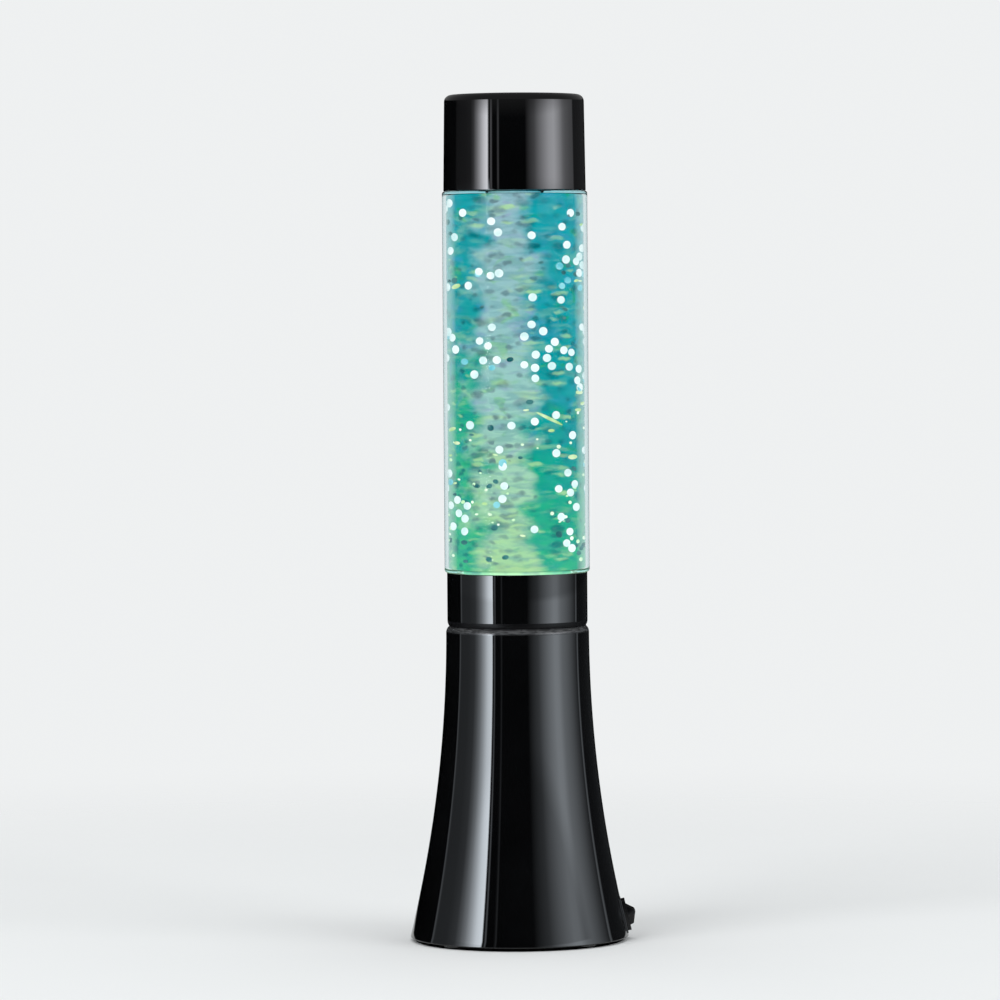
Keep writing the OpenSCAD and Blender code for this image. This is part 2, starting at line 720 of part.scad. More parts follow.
// Feed from the battery to the switch
switch_feed = [[-cell_pitch, tag_y - tag_l / 2, tag_z + contact_t + wire_end],
    kept_in([-cell_pitch / 2, tag_y + 1, tag_z + 3]), kept_in([cell_pitch, tag_y + 1, tag_z + 3]),
    kept_in([tub_side - 3, tag_y + 0.5, tag_z + 2]),
    kept_in([tub_side + 0.5, tag_y - 5, tag_z + 1]), [tub_side + 0.5, tag_y / 2, tag_z],
    [tub_side + 1, 6, tag_z - 2], from_switch(blade_tip_n - 3, 1.5, blade_rise),
    from_switch(blade_tip_n - wire_end, 0, blade_rise)];
// Feed from the switch up to the LED board
lamp_feed = [from_switch(blade_tip_n - wire_end, 0, 0), from_switch(blade_tip_n - 3, -3, 2),
    by_wall(-8, feed_z), by_wall(-5, (feed_z + turn_z) / 2), by_wall(2, turn_z),
    [ring_r + 1, wire_pair, deck_z], [ring_r, wire_pair, deck_top_z],
    [ring_r, wire_pair, board_z - wire_gap]];
// Return from the LED board to the battery
return_feed = [[cell_pitch, -tag_y + tag_l / 2, tag_z + contact_t + wire_end],
    kept_in([cell_pitch, -tag_y + tag_l / 2, tag_z + 5]), by_wall(-55, feed_z),
    by_wall(-30, (feed_z + turn_z) / 2),
    by_wall(-12, turn_z), [ring_r + 1, -wire_pair, deck_z], [ring_r, -wire_pair, deck_top_z],
    [ring_r, -wire_pair, board_z - wire_gap]];
// Leads from the LED board down to the motor's tags
function motor_lead(side) = [[-ring_r, side * wire_pair, board_z - wire_gap],
    [-ring_r, side * wire_pair, deck_top_z], [-ring_r, side * wire_pair, deck_z - 1],
    [-ring_r, side * 2, deck_z - motor_l / 2],
    [-ring_r + 1, side * 3, motor_z - 4], [side * motor_tag_x - 5, side * 2.5, motor_z - 7],
    [side * motor_tag_x, 0, motor_z - motor_tag_l - wire_end]];

// Wires inside the base
module wiring() {
    color("#b3261e") tube(smooth(switch_feed, 4), wire_d, 8);
    color("#b3261e") tube(smooth(lamp_feed, 4), wire_d, 8);
    color("#1c1c1c") tube(smooth(return_feed, 4), wire_d, 8);
    for (side = [-1, 1]) color("#d8d8d8") tube(smooth(motor_lead(side), 4), wire_d, 8);
}

// Motor: can, nose, rear boss and solder tags, with the bore for its shaft
module motor() color("#b9bcc0")
    difference() {
        union() {
            translate([0, 0, motor_z]) cylinder(r = motor_r, h = motor_l);
            translate([0, 0, deck_z - eps]) cylinder(d = motor_nose_d, h = deck_t / 2 + eps);
            translate([0, 0, motor_z - rear_boss_h]) cylinder(d = motor_nose_d, h = rear_boss_h + eps);
            for (x = [-motor_tag_x, motor_tag_x])
                translate([x - motor_tag_t / 2, -motor_tag_w / 2, motor_z - motor_tag_l])
                    cube([motor_tag_t, motor_tag_w, motor_tag_l + eps]);
        }
        translate([0, 0, motor_z + rear_boss_h]) cylinder(r = shaft_r + pin_gap, h = motor_l + deck_t);
    }

// Cup that holds the motor up against the deck
module motor_cup() color("#26282b") {
    cup_z = motor_z - cup_wall;
    ear_z = deck_z - ear_boss_l - ear_t;
    difference() {
        union() {
            translate([0, 0, cup_z])
                cylinder(r = motor_r + cup_gap + cup_wall, h = cup_depth + cup_wall);
            for (side = [-1, 1]) {
                translate([0, side * ear_r, ear_z]) cylinder(d = ear_d, h = ear_t);
                translate([-ear_d / 2, side * ear_r / 2 - ear_r / 2, ear_z])
                    cube([ear_d, ear_r, ear_t]);
            }
        }
        translate([0, 0, motor_z]) cylinder(r = motor_r + cup_gap, h = motor_l);
        translate([0, 0, cup_z - eps]) cylinder(r = motor_r - cup_lip, h = cup_wall + 2 * eps);
        for (y = [-ear_r, ear_r])
            translate([0, y, ear_z - eps]) cylinder(d = screw_hole_d, h = ear_t + 2 * eps);
    }
}

// Screws that hold the motor cup
module motor_screws() color("#9a9da1")
    for (y = [-ear_r, ear_r])
        translate([0, y, deck_z - ear_boss_l - ear_t])
            screw(screw_d, ear_t + ear_screw_bite, screw_head_d, screw_head_h);

// Motor shaft
module motor_shaft() color("#d0d2d5") {
    from_z = motor_z + rear_boss_h + shaft_gap;
    translate([0, 0, from_z]) cylinder(r = shaft_r, h = carrier_z + shaft_seat - from_z);
}

// Magnet carrier on the motor shaft, with its two pockets
module magnet_carrier() color("#e8e6df")
    difference() {
        union() {
            translate([0, 0, carrier_z]) cylinder(r = carrier_r, h = carrier_t);
            translate([0, 0, carrier_z - carrier_hub_h])
                cylinder(d = carrier_hub_d, h = carrier_hub_h + eps);
        }
        translate([0, 0, carrier_z - carrier_hub_h - eps])
            cylinder(r = shaft_r, h = carrier_hub_h + shaft_seat + eps);
        for (x = [-1, 1])
            translate([x * magnet_pitch / 2, 0, carrier_top_z - magnet_t])
                cylinder(r = magnet_r, h = magnet_t + eps);
    }

// Magnets in the carrier
module drive_magnets() color("#8f9499")
    for (x = [-1, 1])
        translate([x * magnet_pitch / 2, 0, carrier_top_z - magnet_t])
            cylinder(r = magnet_r, h = magnet_t);

// LED board, a ring on three posts
module led_board() color("#e9ebe6")
    difference() {
        translate([0, 0, board_z]) cylinder(r = board_r, h = board_t);
        translate([0, 0, board_z - eps]) cylinder(r = board_in_r, h = board_t + 2 * eps);
        on_ring(ring_r, [for (i = [0:posts - 1]) post_turn + i * 360 / posts])
            translate([0, 0, board_z - eps])
                cylinder(d = small_screw_d + 2 * board_hole_gap, h = board_t + 2 * eps);
    }

// LEDs on the board
module leds() color("#f6f2c8")
    on_ring(ring_r, [for (i = [0:leds_n - 1]) i * 360 / leds_n])
        translate([-led_w / 2, -led_w / 2, board_z + board_t]) difference() {
            cube([led_w, led_w, led_h]);
            translate([led_w / 2, led_w / 2, led_h - led_dish])
                cylinder(d = led_dish_d, h = 2 * led_dish);
        }

// Screws that hold the LED board
module board_screws() color("#9a9da1")
    on_ring(ring_r, [for (i = [0:posts - 1]) post_turn + i * 360 / posts])
        translate([0, 0, board_z + board_t]) rotate([180, 0, 0])
            screw(small_screw_d, board_t + post_h + pilot_over / 2, small_head_d, small_head_h);

// Frosted lens under the bottle
module lens() color("#dfeeea")
    translate([0, 0, lens_z]) cylinder(r = lens_r, h = lens_t, $fn = 96);

// Collar under the bottle's shoulder
module collar() color("#101113")
    rotate_extrude($fn = 144) difference() {
        union() {
            translate([0, base_top_z + groove_h]) mirror([0, 1])
                turned_in(collar_r, groove_h, groove_in);
            translate([0, base_top_z + groove_h]) square([collar_r, collar_h - groove_h]);
        }
        translate([0, base_top_z - 1]) square([bore_r, collar_h + 2]);
    }

// Outer half section of the bottle
module bottle_outside() {
    translate([0, collar_top_z]) {
        square([bottle_r - bottle_edge, bottle_h]);
        translate([0, bottle_edge]) square([bottle_r, bottle_h - 2 * bottle_edge]);
        for (z = [bottle_edge, bottle_h - bottle_edge])
            translate([bottle_r - bottle_edge, z]) circle(r = bottle_edge);
    }
    polygon([[0, spigot_z], [spigot_r - 1, spigot_z], [spigot_r, spigot_z + 1],
        [spigot_r, collar_top_z + 1], [0, collar_top_z + 1]]);
    translate([0, bottle_top_z - 1]) square([neck_r, neck_h + 1]);
}

// Inner half section of the bottle, up to a height
module bottle_inside(to_z) {
    translate([0, floor_z]) square([spigot_in_r, collar_top_z + bottle_wall + 1 - floor_z]);
    translate([0, collar_top_z + bottle_wall]) square([bottle_in_r, bottle_h - 2 * bottle_wall]);
    translate([0, bottle_top_z - bottle_wall - 1])
        square([neck_in_r, to_z - bottle_top_z + bottle_wall + 1]);
}

pin_seat = 1.5;                         // depth of the stirrer's pin in the bottle's floor
stirrer_gap = 0.3;                      // under and over the stirrer
stirrer_z = floor_z + stirrer_gap;
hub_top_z = stirrer_z + stirrer_t + blade_h;
clip_z = hub_top_z + stirrer_gap;
clip_t = 0.8;
clip_d = 5;
blade_bend_r = stirrer_r * 0.75;
blade_inset = 0.8;
pocket_r = stirrer_r + 0.6;
pocket_top_z = clip_z + clip_t + 1.2;

// Clear bottle: body, spigot and neck
module bottle() color("#cfeeea", 0.35)
    difference() {
        rotate_extrude($fn = 144) difference() {
            bottle_outside();
            bottle_inside(neck_top_z + 1);
        }
        translate([0, 0, floor_z - pin_seat]) cylinder(r = shaft_r, h = pin_seat + eps);
    }

// Liquid, with a pocket in which the stirrer turns
module liquid() color("#2fb6a4", 0.45)
    rotate_extrude($fn = 144) difference() {
        bottle_inside(fill_z);
        translate([0, floor_z - 1]) square([pocket_r, pocket_top_z + 1 - floor_z]);
    }

// Place and turn of one flake, spread evenly by three irrational steps
function spread(i, step) = (i + 0.5) * step - floor((i + 0.5) * step);
flake_from_z = pocket_top_z + flake_d;
flake_to_z = bottle_top_z - bottle_wall - flake_d;
flake_reach = spigot_in_r - flake_d;
body_reach = bottle_in_r - flake_d / 2 - 0.3;
golden_turn = 137.508;
function flake_z(i) = flake_from_z + (flake_to_z - flake_from_z) * (i + 0.5) / flakes;
function flake_r(i) = sqrt(spread(i, 0.7549))
    * (flake_z(i) < collar_top_z + bottle_wall + flake_d ? flake_reach : body_reach);

// Glitter flakes adrift in the liquid
module glitter() color("#e8f6f2")
    for (i = [0:flakes - 1])
        rotate([0, 0, golden_turn * i]) translate([flake_r(i), 0, flake_z(i)])
            rotate([0, 90 * spread(i, 0.5698), 360 * spread(i, 0.3247)])
                cylinder(d = flake_d, h = flake_t, center = true, $fn = 24);

// Pin that the stirrer turns on
module stirrer_pin() color("#d0d2d5")
    translate([0, 0, floor_z - pin_seat])
        cylinder(r = shaft_r, h = clip_z + clip_t + 0.6 - floor_z + pin_seat);

// Clip that keeps the stirrer on its pin
module pin_clip() color("#e8e6df")
    translate([0, 0, clip_z]) difference() {
        cylinder(d = clip_d, h = clip_t);
        translate([0, 0, -eps]) cylinder(r = shaft_r, h = clip_t + 2 * eps);
    }

// Stirrer: disc with swept blades, hub and magnet pockets
module stirrer() color("#e8e6df")
    translate([0, 0, stirrer_z]) difference() {
        union() {
            cylinder(r = stirrer_r, h = stirrer_t);
            cylinder(d = stirrer_hub_d, h = stirrer_t + blade_h);
            intersection() {
                for (i = [0:blades - 1])
                    rotate([0, 0, 45 + i * 360 / blades])
                        translate([0, -blade_bend_r, stirrer_t - eps]) difference() {
                            cylinder(r = blade_bend_r + blade_t / 2, h = blade_h + eps);
                            translate([0, 0, -eps])
                                cylinder(r = blade_bend_r - blade_t / 2, h = blade_h + 3 * eps);
                            translate([-2 * stirrer_r, -stirrer_r, -eps])
                                cube([2 * stirrer_r, 3 * stirrer_r, blade_h + 3 * eps]);
                        }
                cylinder(r = stirrer_r - blade_inset, h = stirrer_t + blade_h);
            }
        }
        translate([0, 0, -eps]) cylinder(r = shaft_r + pin_gap, h = stirrer_t + blade_h + 2 * eps);
        for (x = [-1, 1])
            translate([x * magnet_pitch / 2, 0, -eps]) cylinder(r = magnet_r, h = magnet_t + eps);
    }

// Magnets in the stirrer
module stirrer_magnets() color("#8f9499")
    for (x = [-1, 1])
        translate([x * magnet_pitch / 2, 0, stirrer_z]) cylinder(r = magnet_r, h = magnet_t);

// Seal in the closure
module closure_seal() color("#d9d9d9")
    translate([0, 0, neck_top_z]) cylinder(r = neck_r, h = seal_t);

// Screw closure on the neck
module bottle_closure() color("#2a2c2f") {
    top_z = neck_top_z + seal_t + closure_wall;
    difference() {
        translate([0, 0, neck_top_z - skirt_h])
            cylinder(r = closure_r, h = top_z - neck_top_z + skirt_h);
        translate([0, 0, neck_top_z - skirt_h - eps])
            cylinder(r = neck_r + closure_gap, h = skirt_h + seal_t + eps);
        for (i = [0:grip_grooves - 1])
            rotate([0, 0, i * 360 / grip_grooves])
                translate([closure_r + grip_groove_d / 4, 0, neck_top_z - skirt_h - eps])
                    cylinder(d = grip_groove_d, h = skirt_h, $fn = 24);
    }
}

// Cap: tapered shell with a rounded top edge, a sleeve for the closure and ribs
cap_rim_r = cap_rim_d / 2;
cap_top_r = cap_top_d / 2;
cap_draft = atan((cap_rim_r - cap_top_r) / cap_h);
sleeve_r = closure_r + sleeve_gap;
sleeve_z = neck_top_z - skirt_h + 1;
rib_z = neck_top_z + 6;                 // lower edge of the ribs
function cap_r(z) = cap_rim_r - (z - bottle_top_z) * tan(cap_draft);

// Outer half section of the cap, tapered and with its top edge rounded
module cap_area() {
    mid_z = cap_top_z - cap_edge;
    mid_r = cap_r(mid_z) - cap_edge / cos(cap_draft);
    polygon([[0, bottle_top_z], [cap_rim_r, bottle_top_z],
        [mid_r + cap_edge * cos(cap_draft), mid_z + cap_edge * sin(cap_draft)],
        [mid_r, mid_z], [mid_r, cap_top_z], [0, cap_top_z]]);
    translate([mid_r, mid_z]) circle(r = cap_edge, $fn = 96);
}

module top_cap() color("#101113") {
    ceiling_z = cap_top_z - cap_wall;
    rotate_extrude($fn = 144) difference() {
        cap_area();
        translate([0, bottle_top_z - 1]) square([cap_rim_r - cap_wall, 1 + eps]);
        polygon([[0, bottle_top_z - eps], [cap_rim_r - cap_wall, bottle_top_z - eps],
            [cap_r(ceiling_z) - cap_wall, ceiling_z], [0, ceiling_z]]);
    }
    difference() {
        union() {
            translate([0, 0, sleeve_z])
                cylinder(r = sleeve_r + sleeve_wall, h = ceiling_z + eps - sleeve_z);
            intersection() {
                for (i = [0:cap_ribs - 1])
                    rotate([0, 0, i * 360 / cap_ribs])
                        translate([0, -cap_rib_t / 2, rib_z])
                            cube([cap_rim_r, cap_rib_t, ceiling_z + eps - rib_z]);
                cylinder(r = cap_r(ceiling_z) - cap_wall / 2, h = cap_top_z);
            }
        }
        translate([0, 0, sleeve_z - eps]) cylinder(r = sleeve_r, h = ceiling_z - sleeve_z + eps);
    }
}

base_shell();
bottom_cover();
cover_screws();
rubber_feet();
battery_door();
battery_cells();
battery_contacts();
battery_springs();
switch_housing();
switch_terminals();
switch_rocker();
wiring();
motor();
motor_cup();
motor_screws();
motor_shaft();
magnet_carrier();
drive_magnets();
led_board();
leds();
board_screws();
lens();
collar();
bottle();
liquid();
glitter();
stirrer_pin();
pin_clip();
stirrer();
stirrer_magnets();
closure_seal();
bottle_closure();
top_cap();
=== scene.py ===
"""Looks of the glitter lamp: a gloss black base, collar and cap round a lit bottle of glitter liquid."""
import logging
import math
import random
from dataclasses import dataclass, replace
from enum import Enum

import bmesh
import bpy
from mathutils import Matrix, Vector


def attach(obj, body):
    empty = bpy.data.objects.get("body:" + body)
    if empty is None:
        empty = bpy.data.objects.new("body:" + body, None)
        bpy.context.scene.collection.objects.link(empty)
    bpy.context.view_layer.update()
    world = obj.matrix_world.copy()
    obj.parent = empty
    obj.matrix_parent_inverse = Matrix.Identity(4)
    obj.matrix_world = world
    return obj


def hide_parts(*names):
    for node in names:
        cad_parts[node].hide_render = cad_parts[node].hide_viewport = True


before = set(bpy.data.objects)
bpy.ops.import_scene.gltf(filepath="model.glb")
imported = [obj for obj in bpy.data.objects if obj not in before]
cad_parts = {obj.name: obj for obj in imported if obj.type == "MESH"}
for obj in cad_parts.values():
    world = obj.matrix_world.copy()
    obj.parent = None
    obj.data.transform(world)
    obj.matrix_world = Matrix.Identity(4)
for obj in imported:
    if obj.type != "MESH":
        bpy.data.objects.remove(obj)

log = logging.getLogger("glitter_lamp")

MM = 0.001
ROUND_STEPS = 256
EVEN = (1.0, 1.0, 1.0)

# Distances in metres that count as none: from the axis, after a spin and in the copy of a node
ON_AXIS = 1e-9
SPUN_MERGE = 1e-7
NODE_MERGE = 1e-6

# Places of the colour sockets on Blender's Mix node, whose names aren't unique
MIX_FACTOR = 0
MIX_FIRST = 6
MIX_SECOND = 7
MIX_RESULT = 2

Triple = tuple[float, float, float]
Colour = Triple
Pair = tuple[Colour, Colour]
Range = tuple[float, float]
Stops = tuple[tuple[float, Colour], ...]
Socket = bpy.types.NodeSocket


class Graph:
    """Node tree of one material, with short ways to add and join nodes."""

    def __init__(self, name: str) -> None:
        """Starts a material with one Principled shader.

        Args:
            name: name of the material.
        """
        self.material = bpy.data.materials.new(name)
        self.material.use_nodes = True
        self.tree = self.material.node_tree
        self.tree.nodes.clear()
        self.out = self.node("OutputMaterial")
        self.shader = self.node("BsdfPrincipled")
        self.surface(self.shader.outputs["BSDF"])

    def node(self, kind: str, **settings: object) -> bpy.types.Node:
        """Adds a node.

        Args:
            kind: the node's type without its prefix.
            settings: properties of the node.

        Returns:
            The new node.
        """
        made = self.tree.nodes.new("ShaderNode" + kind)
        for key, value in settings.items():
            setattr(made, key, value)
        return made

    def join(self, source: Socket, target: Socket) -> None:
        """Links one socket to another."""
        self.tree.links.new(source, target)

    def surface(self, shade: Socket) -> None:
        """Links a shader to the surface of the material."""
        self.join(shade, self.out.inputs["Surface"])

    def feed(self, socket: str, source: Socket) -> None:
        """Links a socket to an input of the shader."""
        self.join(source, self.shader.inputs[socket])

    def put(self, **values: object) -> None:
        """Sets inputs of the shader, with _ for a space in a name."""
        for key, value in values.items():
            self.shader.inputs[key.replace("_", " ")].default_value = value

    def clear_where(self, factor: Socket, shade: Socket) -> None:
        """Makes the surface clear by a factor.

        Args:
            factor: 1 where the surface is clear.
            shade: the shader where it is not.
        """
        both = self.node("MixShader")
        self.join(factor, both.inputs["Fac"])
        self.join(shade, both.inputs[1])
        self.join(self.node("BsdfTransparent").outputs["BSDF"], both.inputs[2])
        self.surface(both.outputs["Shader"])

    def coords(self) -> Socket:
        """Gives Object coordinates, in metres."""
        return self.node("TexCoord").outputs["Object"]

    def axes(self) -> tuple[Socket, Socket, Socket]:
        """Splits Object coordinates.

        Returns:
            The x, y and z sockets, in metres.
        """
        parts = self.node("SeparateXYZ")
        self.join(self.coords(), parts.inputs["Vector"])
        return parts.outputs["X"], parts.outputs["Y"], parts.outputs["Z"]

    def stretched(self, where: Socket, stretch: Triple) -> Socket:
        """Stretches coordinates.

        Args:
            where: the coordinates.
            stretch: scale along x, y and z.

        Returns:
            The vector socket.
        """
        mapping = self.node("Mapping")
        mapping.inputs["Scale"].default_value = stretch
        self.join(where, mapping.inputs["Vector"])
        return mapping.outputs["Vector"]

    def warped(self, stretch: Triple, scale: float, reach: float) -> Socket:
        """Gives Object coordinates, bent by noise and then stretched.

        Args:
            stretch: scale along x, y and z.
            scale: bends a metre.
            reach: how far a place is moved, in metres, and half as far upwards.

        Returns:
            The vector socket.
        """
        where = self.coords()
        bend = self.node("TexNoise")
        bend.inputs["Scale"].default_value = scale
        self.join(where, bend.inputs["Vector"])
        moved = self.node("VectorMath", operation="MULTIPLY_ADD")
        self.join(bend.outputs["Color"], moved.inputs[0])
        moved.inputs[1].default_value = (reach, reach, reach / 2)
        self.join(where, moved.inputs[2])
        return self.stretched(moved.outputs["Vector"], stretch)

    def noise(self, scale: float, detail: float, stretch: Triple = EVEN, distortion: float = 0.0) -> Socket:
        """Adds cloudy noise in Object coordinates.

        Args:
            scale: cycles a metre.
            detail: octaves.
            stretch: scale along x, y and z.
            distortion: swirl of the noise.

        Returns:
            The factor socket.
        """
        made = self.node("TexNoise")
        made.inputs["Scale"].default_value = scale
        made.inputs["Detail"].default_value = detail
        made.inputs["Distortion"].default_value = distortion
        self.join(self.stretched(self.coords(), stretch), made.inputs["Vector"])
        return made.outputs["Fac"]

    def span(self, source: Socket, between: Range, to: Range = (0.0, 1.0), smooth: bool = False) -> Socket:
        """Maps one range of values onto another and clamps it.

        Args:
            source: the value to map.
            between: start and end of its range.
            to: values at the start and the end.
            smooth: eases in and out.

        Returns:
            The mapped value.
        """
        made = self.node("MapRange", interpolation_type="SMOOTHSTEP" if smooth else "LINEAR")
        for socket, value in zip(("From Min", "From Max", "To Min", "To Max"), (*between, *to)):
            made.inputs[socket].default_value = value
        self.join(source, made.inputs["Value"])
        return made.outputs["Result"]

    def ramp(self, source: Socket, stops: Stops) -> Socket:
        """Turns a value into a colour.

        Args:
            source: a value from 0 to 1.
            stops: places and colours.

        Returns:
            The colour socket.
        """
        made = self.node("ValToRGB")
        elements = made.color_ramp.elements
        while len(elements) < len(stops):
            elements.new(0.5)
        for element, (place, colour) in zip(elements, stops):
            element.position = place
            element.color = (*colour, 1.0)
        self.join(source, made.inputs["Fac"])
        return made.outputs["Color"]

    def blend(self, source: Socket, between: Range, tones: Pair) -> Socket:
        """Turns a value into a colour that goes from one tone to another over a range."""
        return self.ramp(source, tuple(zip(between, tones)))

    def math(self, operation: str, first: Socket | float, second: Socket | float) -> Socket:
        """Works out one value from two.

        Args:
            operation: what is done with them.
            first: a socket or a number.
            second: a socket or a number.

        Returns:
            The value socket.
        """
        made = self.node("Math", operation=operation)
        for socket, value in zip(made.inputs, (first, second)):
            if isinstance(value, (int, float)):
                socket.default_value = value
            else:
                self.join(value, socket)
        return made.outputs["Value"]

    def times(self, first: Socket | float, second: Socket | float) -> Socket:
        """Multiplies two values."""
        return self.math("MULTIPLY", first, second)

    def larger(self, first: Socket | float, second: Socket | float) -> Socket:
        """Gives the larger of two values."""
        return self.math("MAXIMUM", first, second)

    def away(self, source: Socket, middle: float) -> Socket:
        """Gives how far a value is from a middle."""
        return self.math("ABSOLUTE", self.math("SUBTRACT", source, middle), 0.0)

    def mix(self, factor: Socket, first: Socket | Colour, second: Socket | Colour) -> Socket:
        """Mixes two colours.

        Args:
            factor: 0 for the first and 1 for the second.
            first: a socket or a colour.
            second: a socket or a colour.

        Returns:
            The colour socket.
        """
        made = self.node("Mix", data_type="RGBA")
        self.join(factor, made.inputs[MIX_FACTOR])
        for place, value in ((MIX_FIRST, first), (MIX_SECOND, second)):
            if isinstance(value, tuple):
                made.inputs[place].default_value = (*value, 1.0)
            else:
                self.join(value, made.inputs[place])
        return made.outputs[MIX_RESULT]

    def bump(self, height: Socket, strength: float, depth: float) -> None:
        """Gives the shader a fine relief.

        Args:
            height: the relief from 0 to 1.
            strength: share of the relief.
            depth: depth of the relief in metres.
        """
        made = self.node("Bump")
        made.inputs["Strength"].default_value = strength
        made.inputs["Distance"].default_value = depth
        self.join(height, made.inputs["Height"])
        self.feed("Normal", made.outputs["Normal"])


@dataclass(frozen=True)
class Moulded:
    """Moulded plastic or rubber: cloudy colour, uneven gloss and a fine skin, worn dull above a height and
    painted lighter there as a painted highlight.

    Patterns are in cycles a metre, heights and depths in metres, and gloss is roughness.
    """

    name: str
    tones: Pair
    gloss: Range
    cloud: float = 90.0
    cloud_span: Range = (0.35, 0.7)
    grain: float = 2500.0
    grain_span: Range = (0.3, 0.7)
    relief: float = 0.15
    depth: float = 0.00005
    shine: float = 0.5
    coat: float = 0.0
    coat_gloss: float = 0.03
    dull_and_highlight_above: float = 0.0
    dull_and_highlight_over: float = 0.0008
    dull: Range = (0.2, 0.36)
    streak: Triple = (230.0, 230.0, 1500.0)
    streak_span: Range = (0.35, 0.65)
    worn_and_highlight: Pair = ((0.03, 0.031, 0.033), (0.075, 0.078, 0.082))
    worn_and_highlight_span: Range = (0.4, 0.62)

    def material(self) -> bpy.types.Material:
        """Makes the material.

        Returns:
            The material.
        """
        graph = Graph(self.name)
        grain = graph.noise(self.grain, detail=2.0)
        colour = graph.blend(graph.noise(self.cloud, detail=4.0), self.cloud_span, self.tones)
        gloss = graph.span(grain, self.grain_span, self.gloss)
        if self.dull_and_highlight_above:
            colour, gloss = self.wear_and_highlight(graph, colour, gloss)
        graph.feed("Base Color", colour)
        graph.feed("Roughness", gloss)
        graph.put(Coat_Weight=self.coat, Coat_Roughness=self.coat_gloss, Specular_IOR_Level=self.shine)
        graph.bump(grain, self.relief, self.depth)
        return graph.material

    def wear_and_highlight(self, graph: Graph, colour: Socket, gloss: Socket) -> tuple[Socket, Socket]:
        """Dulls the skin above a height, in mottled streaks, and paints it lighter there as a painted
        highlight.

        Args:
            graph: the material's graph.
            colour: colour of the clean skin.
            gloss: roughness of the clean skin.

        Returns:
            The colour with the painted highlight, and the roughness with the wear.
        """
        height = graph.axes()[2]
        share = graph.span(height, (self.dull_and_highlight_above, self.dull_and_highlight_above + self.dull_and_highlight_over))
        mottled = graph.noise(1.0, detail=3.0, stretch=self.streak)
        rough = graph.span(mottled, self.streak_span, self.dull)
        # Lighter tone above the height: a painted highlight, mottled like the dulled skin.
        worn_and_highlight = graph.blend(mottled, self.worn_and_highlight_span, self.worn_and_highlight)
        return graph.mix(share, colour, worn_and_highlight), graph.larger(gloss, graph.times(share, rough))


@dataclass(frozen=True)
class Metal:
    """Bare or plated metal with fine drawn lines and dull spots, in cycles a metre."""

    name: str
    tones: Pair
    gloss: Range
    lines: Triple = (900.0, 900.0, 60.0)
    line_span: Range = (0.3, 0.7)
    spots: float = 350.0
    spot_span: Range = (0.3, 0.65)
    relief: float = 0.1
    depth: float = 0.00002

    def material(self) -> bpy.types.Material:
        """Makes the material.

        Returns:
            The material.
        """
        graph = Graph(self.name)
        drawn = graph.noise(1.0, detail=3.0, stretch=self.lines)
        spots = graph.noise(self.spots, detail=4.0)
        graph.feed("Base Color", graph.blend(spots, self.spot_span, self.tones))
        graph.feed("Roughness", graph.span(drawn, self.line_span, self.gloss))
        graph.put(Metallic=1.0)
        graph.bump(drawn, self.relief, self.depth)
        return graph.material


@dataclass(frozen=True)
class ClearWall:
    """Clear moulded wall, lit through its lower edge, with heights in metres."""

    name: str
    tint: Colour
    ior: float
    edge_glow: Colour
    glow: float
    glow_z: Range
    edge: float = 0.0006
    haze: float = 60.0
    haze_span: Range = (0.3, 0.8)
    gloss: Range = (0.0, 0.015)
    depth_tint: Colour = (0.175, 0.705, 0.763)
    density: float = 0.0

    def material(self) -> bpy.types.Material:
        """Makes the material.

        Returns:
            The material.
        """
        graph = Graph(self.name)
        graph.put(Transmission_Weight=1.0, IOR=self.ior, Emission_Color=(*self.edge_glow, 1.0))
        haze = graph.noise(self.haze, detail=3.0)
        graph.feed("Base Color", graph.mix(haze, self.tint, EVEN))
        graph.feed("Roughness", graph.span(haze, self.haze_span, self.gloss))
        height = graph.axes()[2]
        rise = graph.span(height, (self.glow_z[0] - self.edge, self.glow_z[0]))
        fall = graph.span(height, self.glow_z, (self.glow, 0.0), smooth=True)
        graph.feed("Emission Strength", graph.times(rise, fall))
        if self.density:
            soak = graph.node("VolumeAbsorption")
            soak.inputs["Color"].default_value = (*self.depth_tint, 1.0)
            soak.inputs["Density"].default_value = self.density
            graph.join(soak.outputs["Volume"], graph.out.inputs["Volume"])
        return graph.material


@dataclass(frozen=True)
class Swirl:
    """Swirl in the liquid: cycles a metre along each axis, and the range of its noise that shows."""

    stretch: Triple
    distortion: float
    between: Range
    share: float
    detail: float = 3.0
    smooth: bool = True

    def cover(self, graph: Graph) -> Socket:
        """Gives how strongly the swirl covers each place."""
        tone = graph.noise(1.0, self.detail, self.stretch, self.distortion)
        return graph.span(tone, self.between, (0.0, self.share), self.smooth)


@dataclass(frozen=True)
class FarFlakes:
    """Soft flakes deep in the liquid.

    The stretch is in flakes a metre, rare is the share of the places that stay empty, share is how strongly
    a flake covers what is behind it, and least is the weakest flake as a part of that.
    """

    stretch: Triple
    rare: float
    share: float
    least: float = 0.45
    bends: float = 190.0
    bend_reach: float = 0.006
    spot: Range = (0.16, 0.46)

    def cover(self, graph: Graph) -> Socket:
        """Gives how strongly the flakes cover each place.

        Args:
            graph: the material's graph.

        Returns:
            The share from 0 to 1.
        """
        cells = graph.node("TexVoronoi", feature="F1")
        cells.inputs["Scale"].default_value = 1.0
        graph.join(graph.warped(self.stretch, self.bends, self.bend_reach), cells.inputs["Vector"])
        tone = graph.node("SeparateColor")
        graph.join(cells.outputs["Color"], tone.inputs["Color"])
        chance = tone.outputs["Red"]
        strength = graph.span(chance, (self.rare, 1.0), (self.share * self.least, self.share))
        shown = graph.times(graph.math("GREATER_THAN", chance, self.rare), strength)
        spot = graph.span(cells.outputs["Distance"], self.spot, (1.0, 0.0), smooth=True)
        return graph.times(spot, shown)


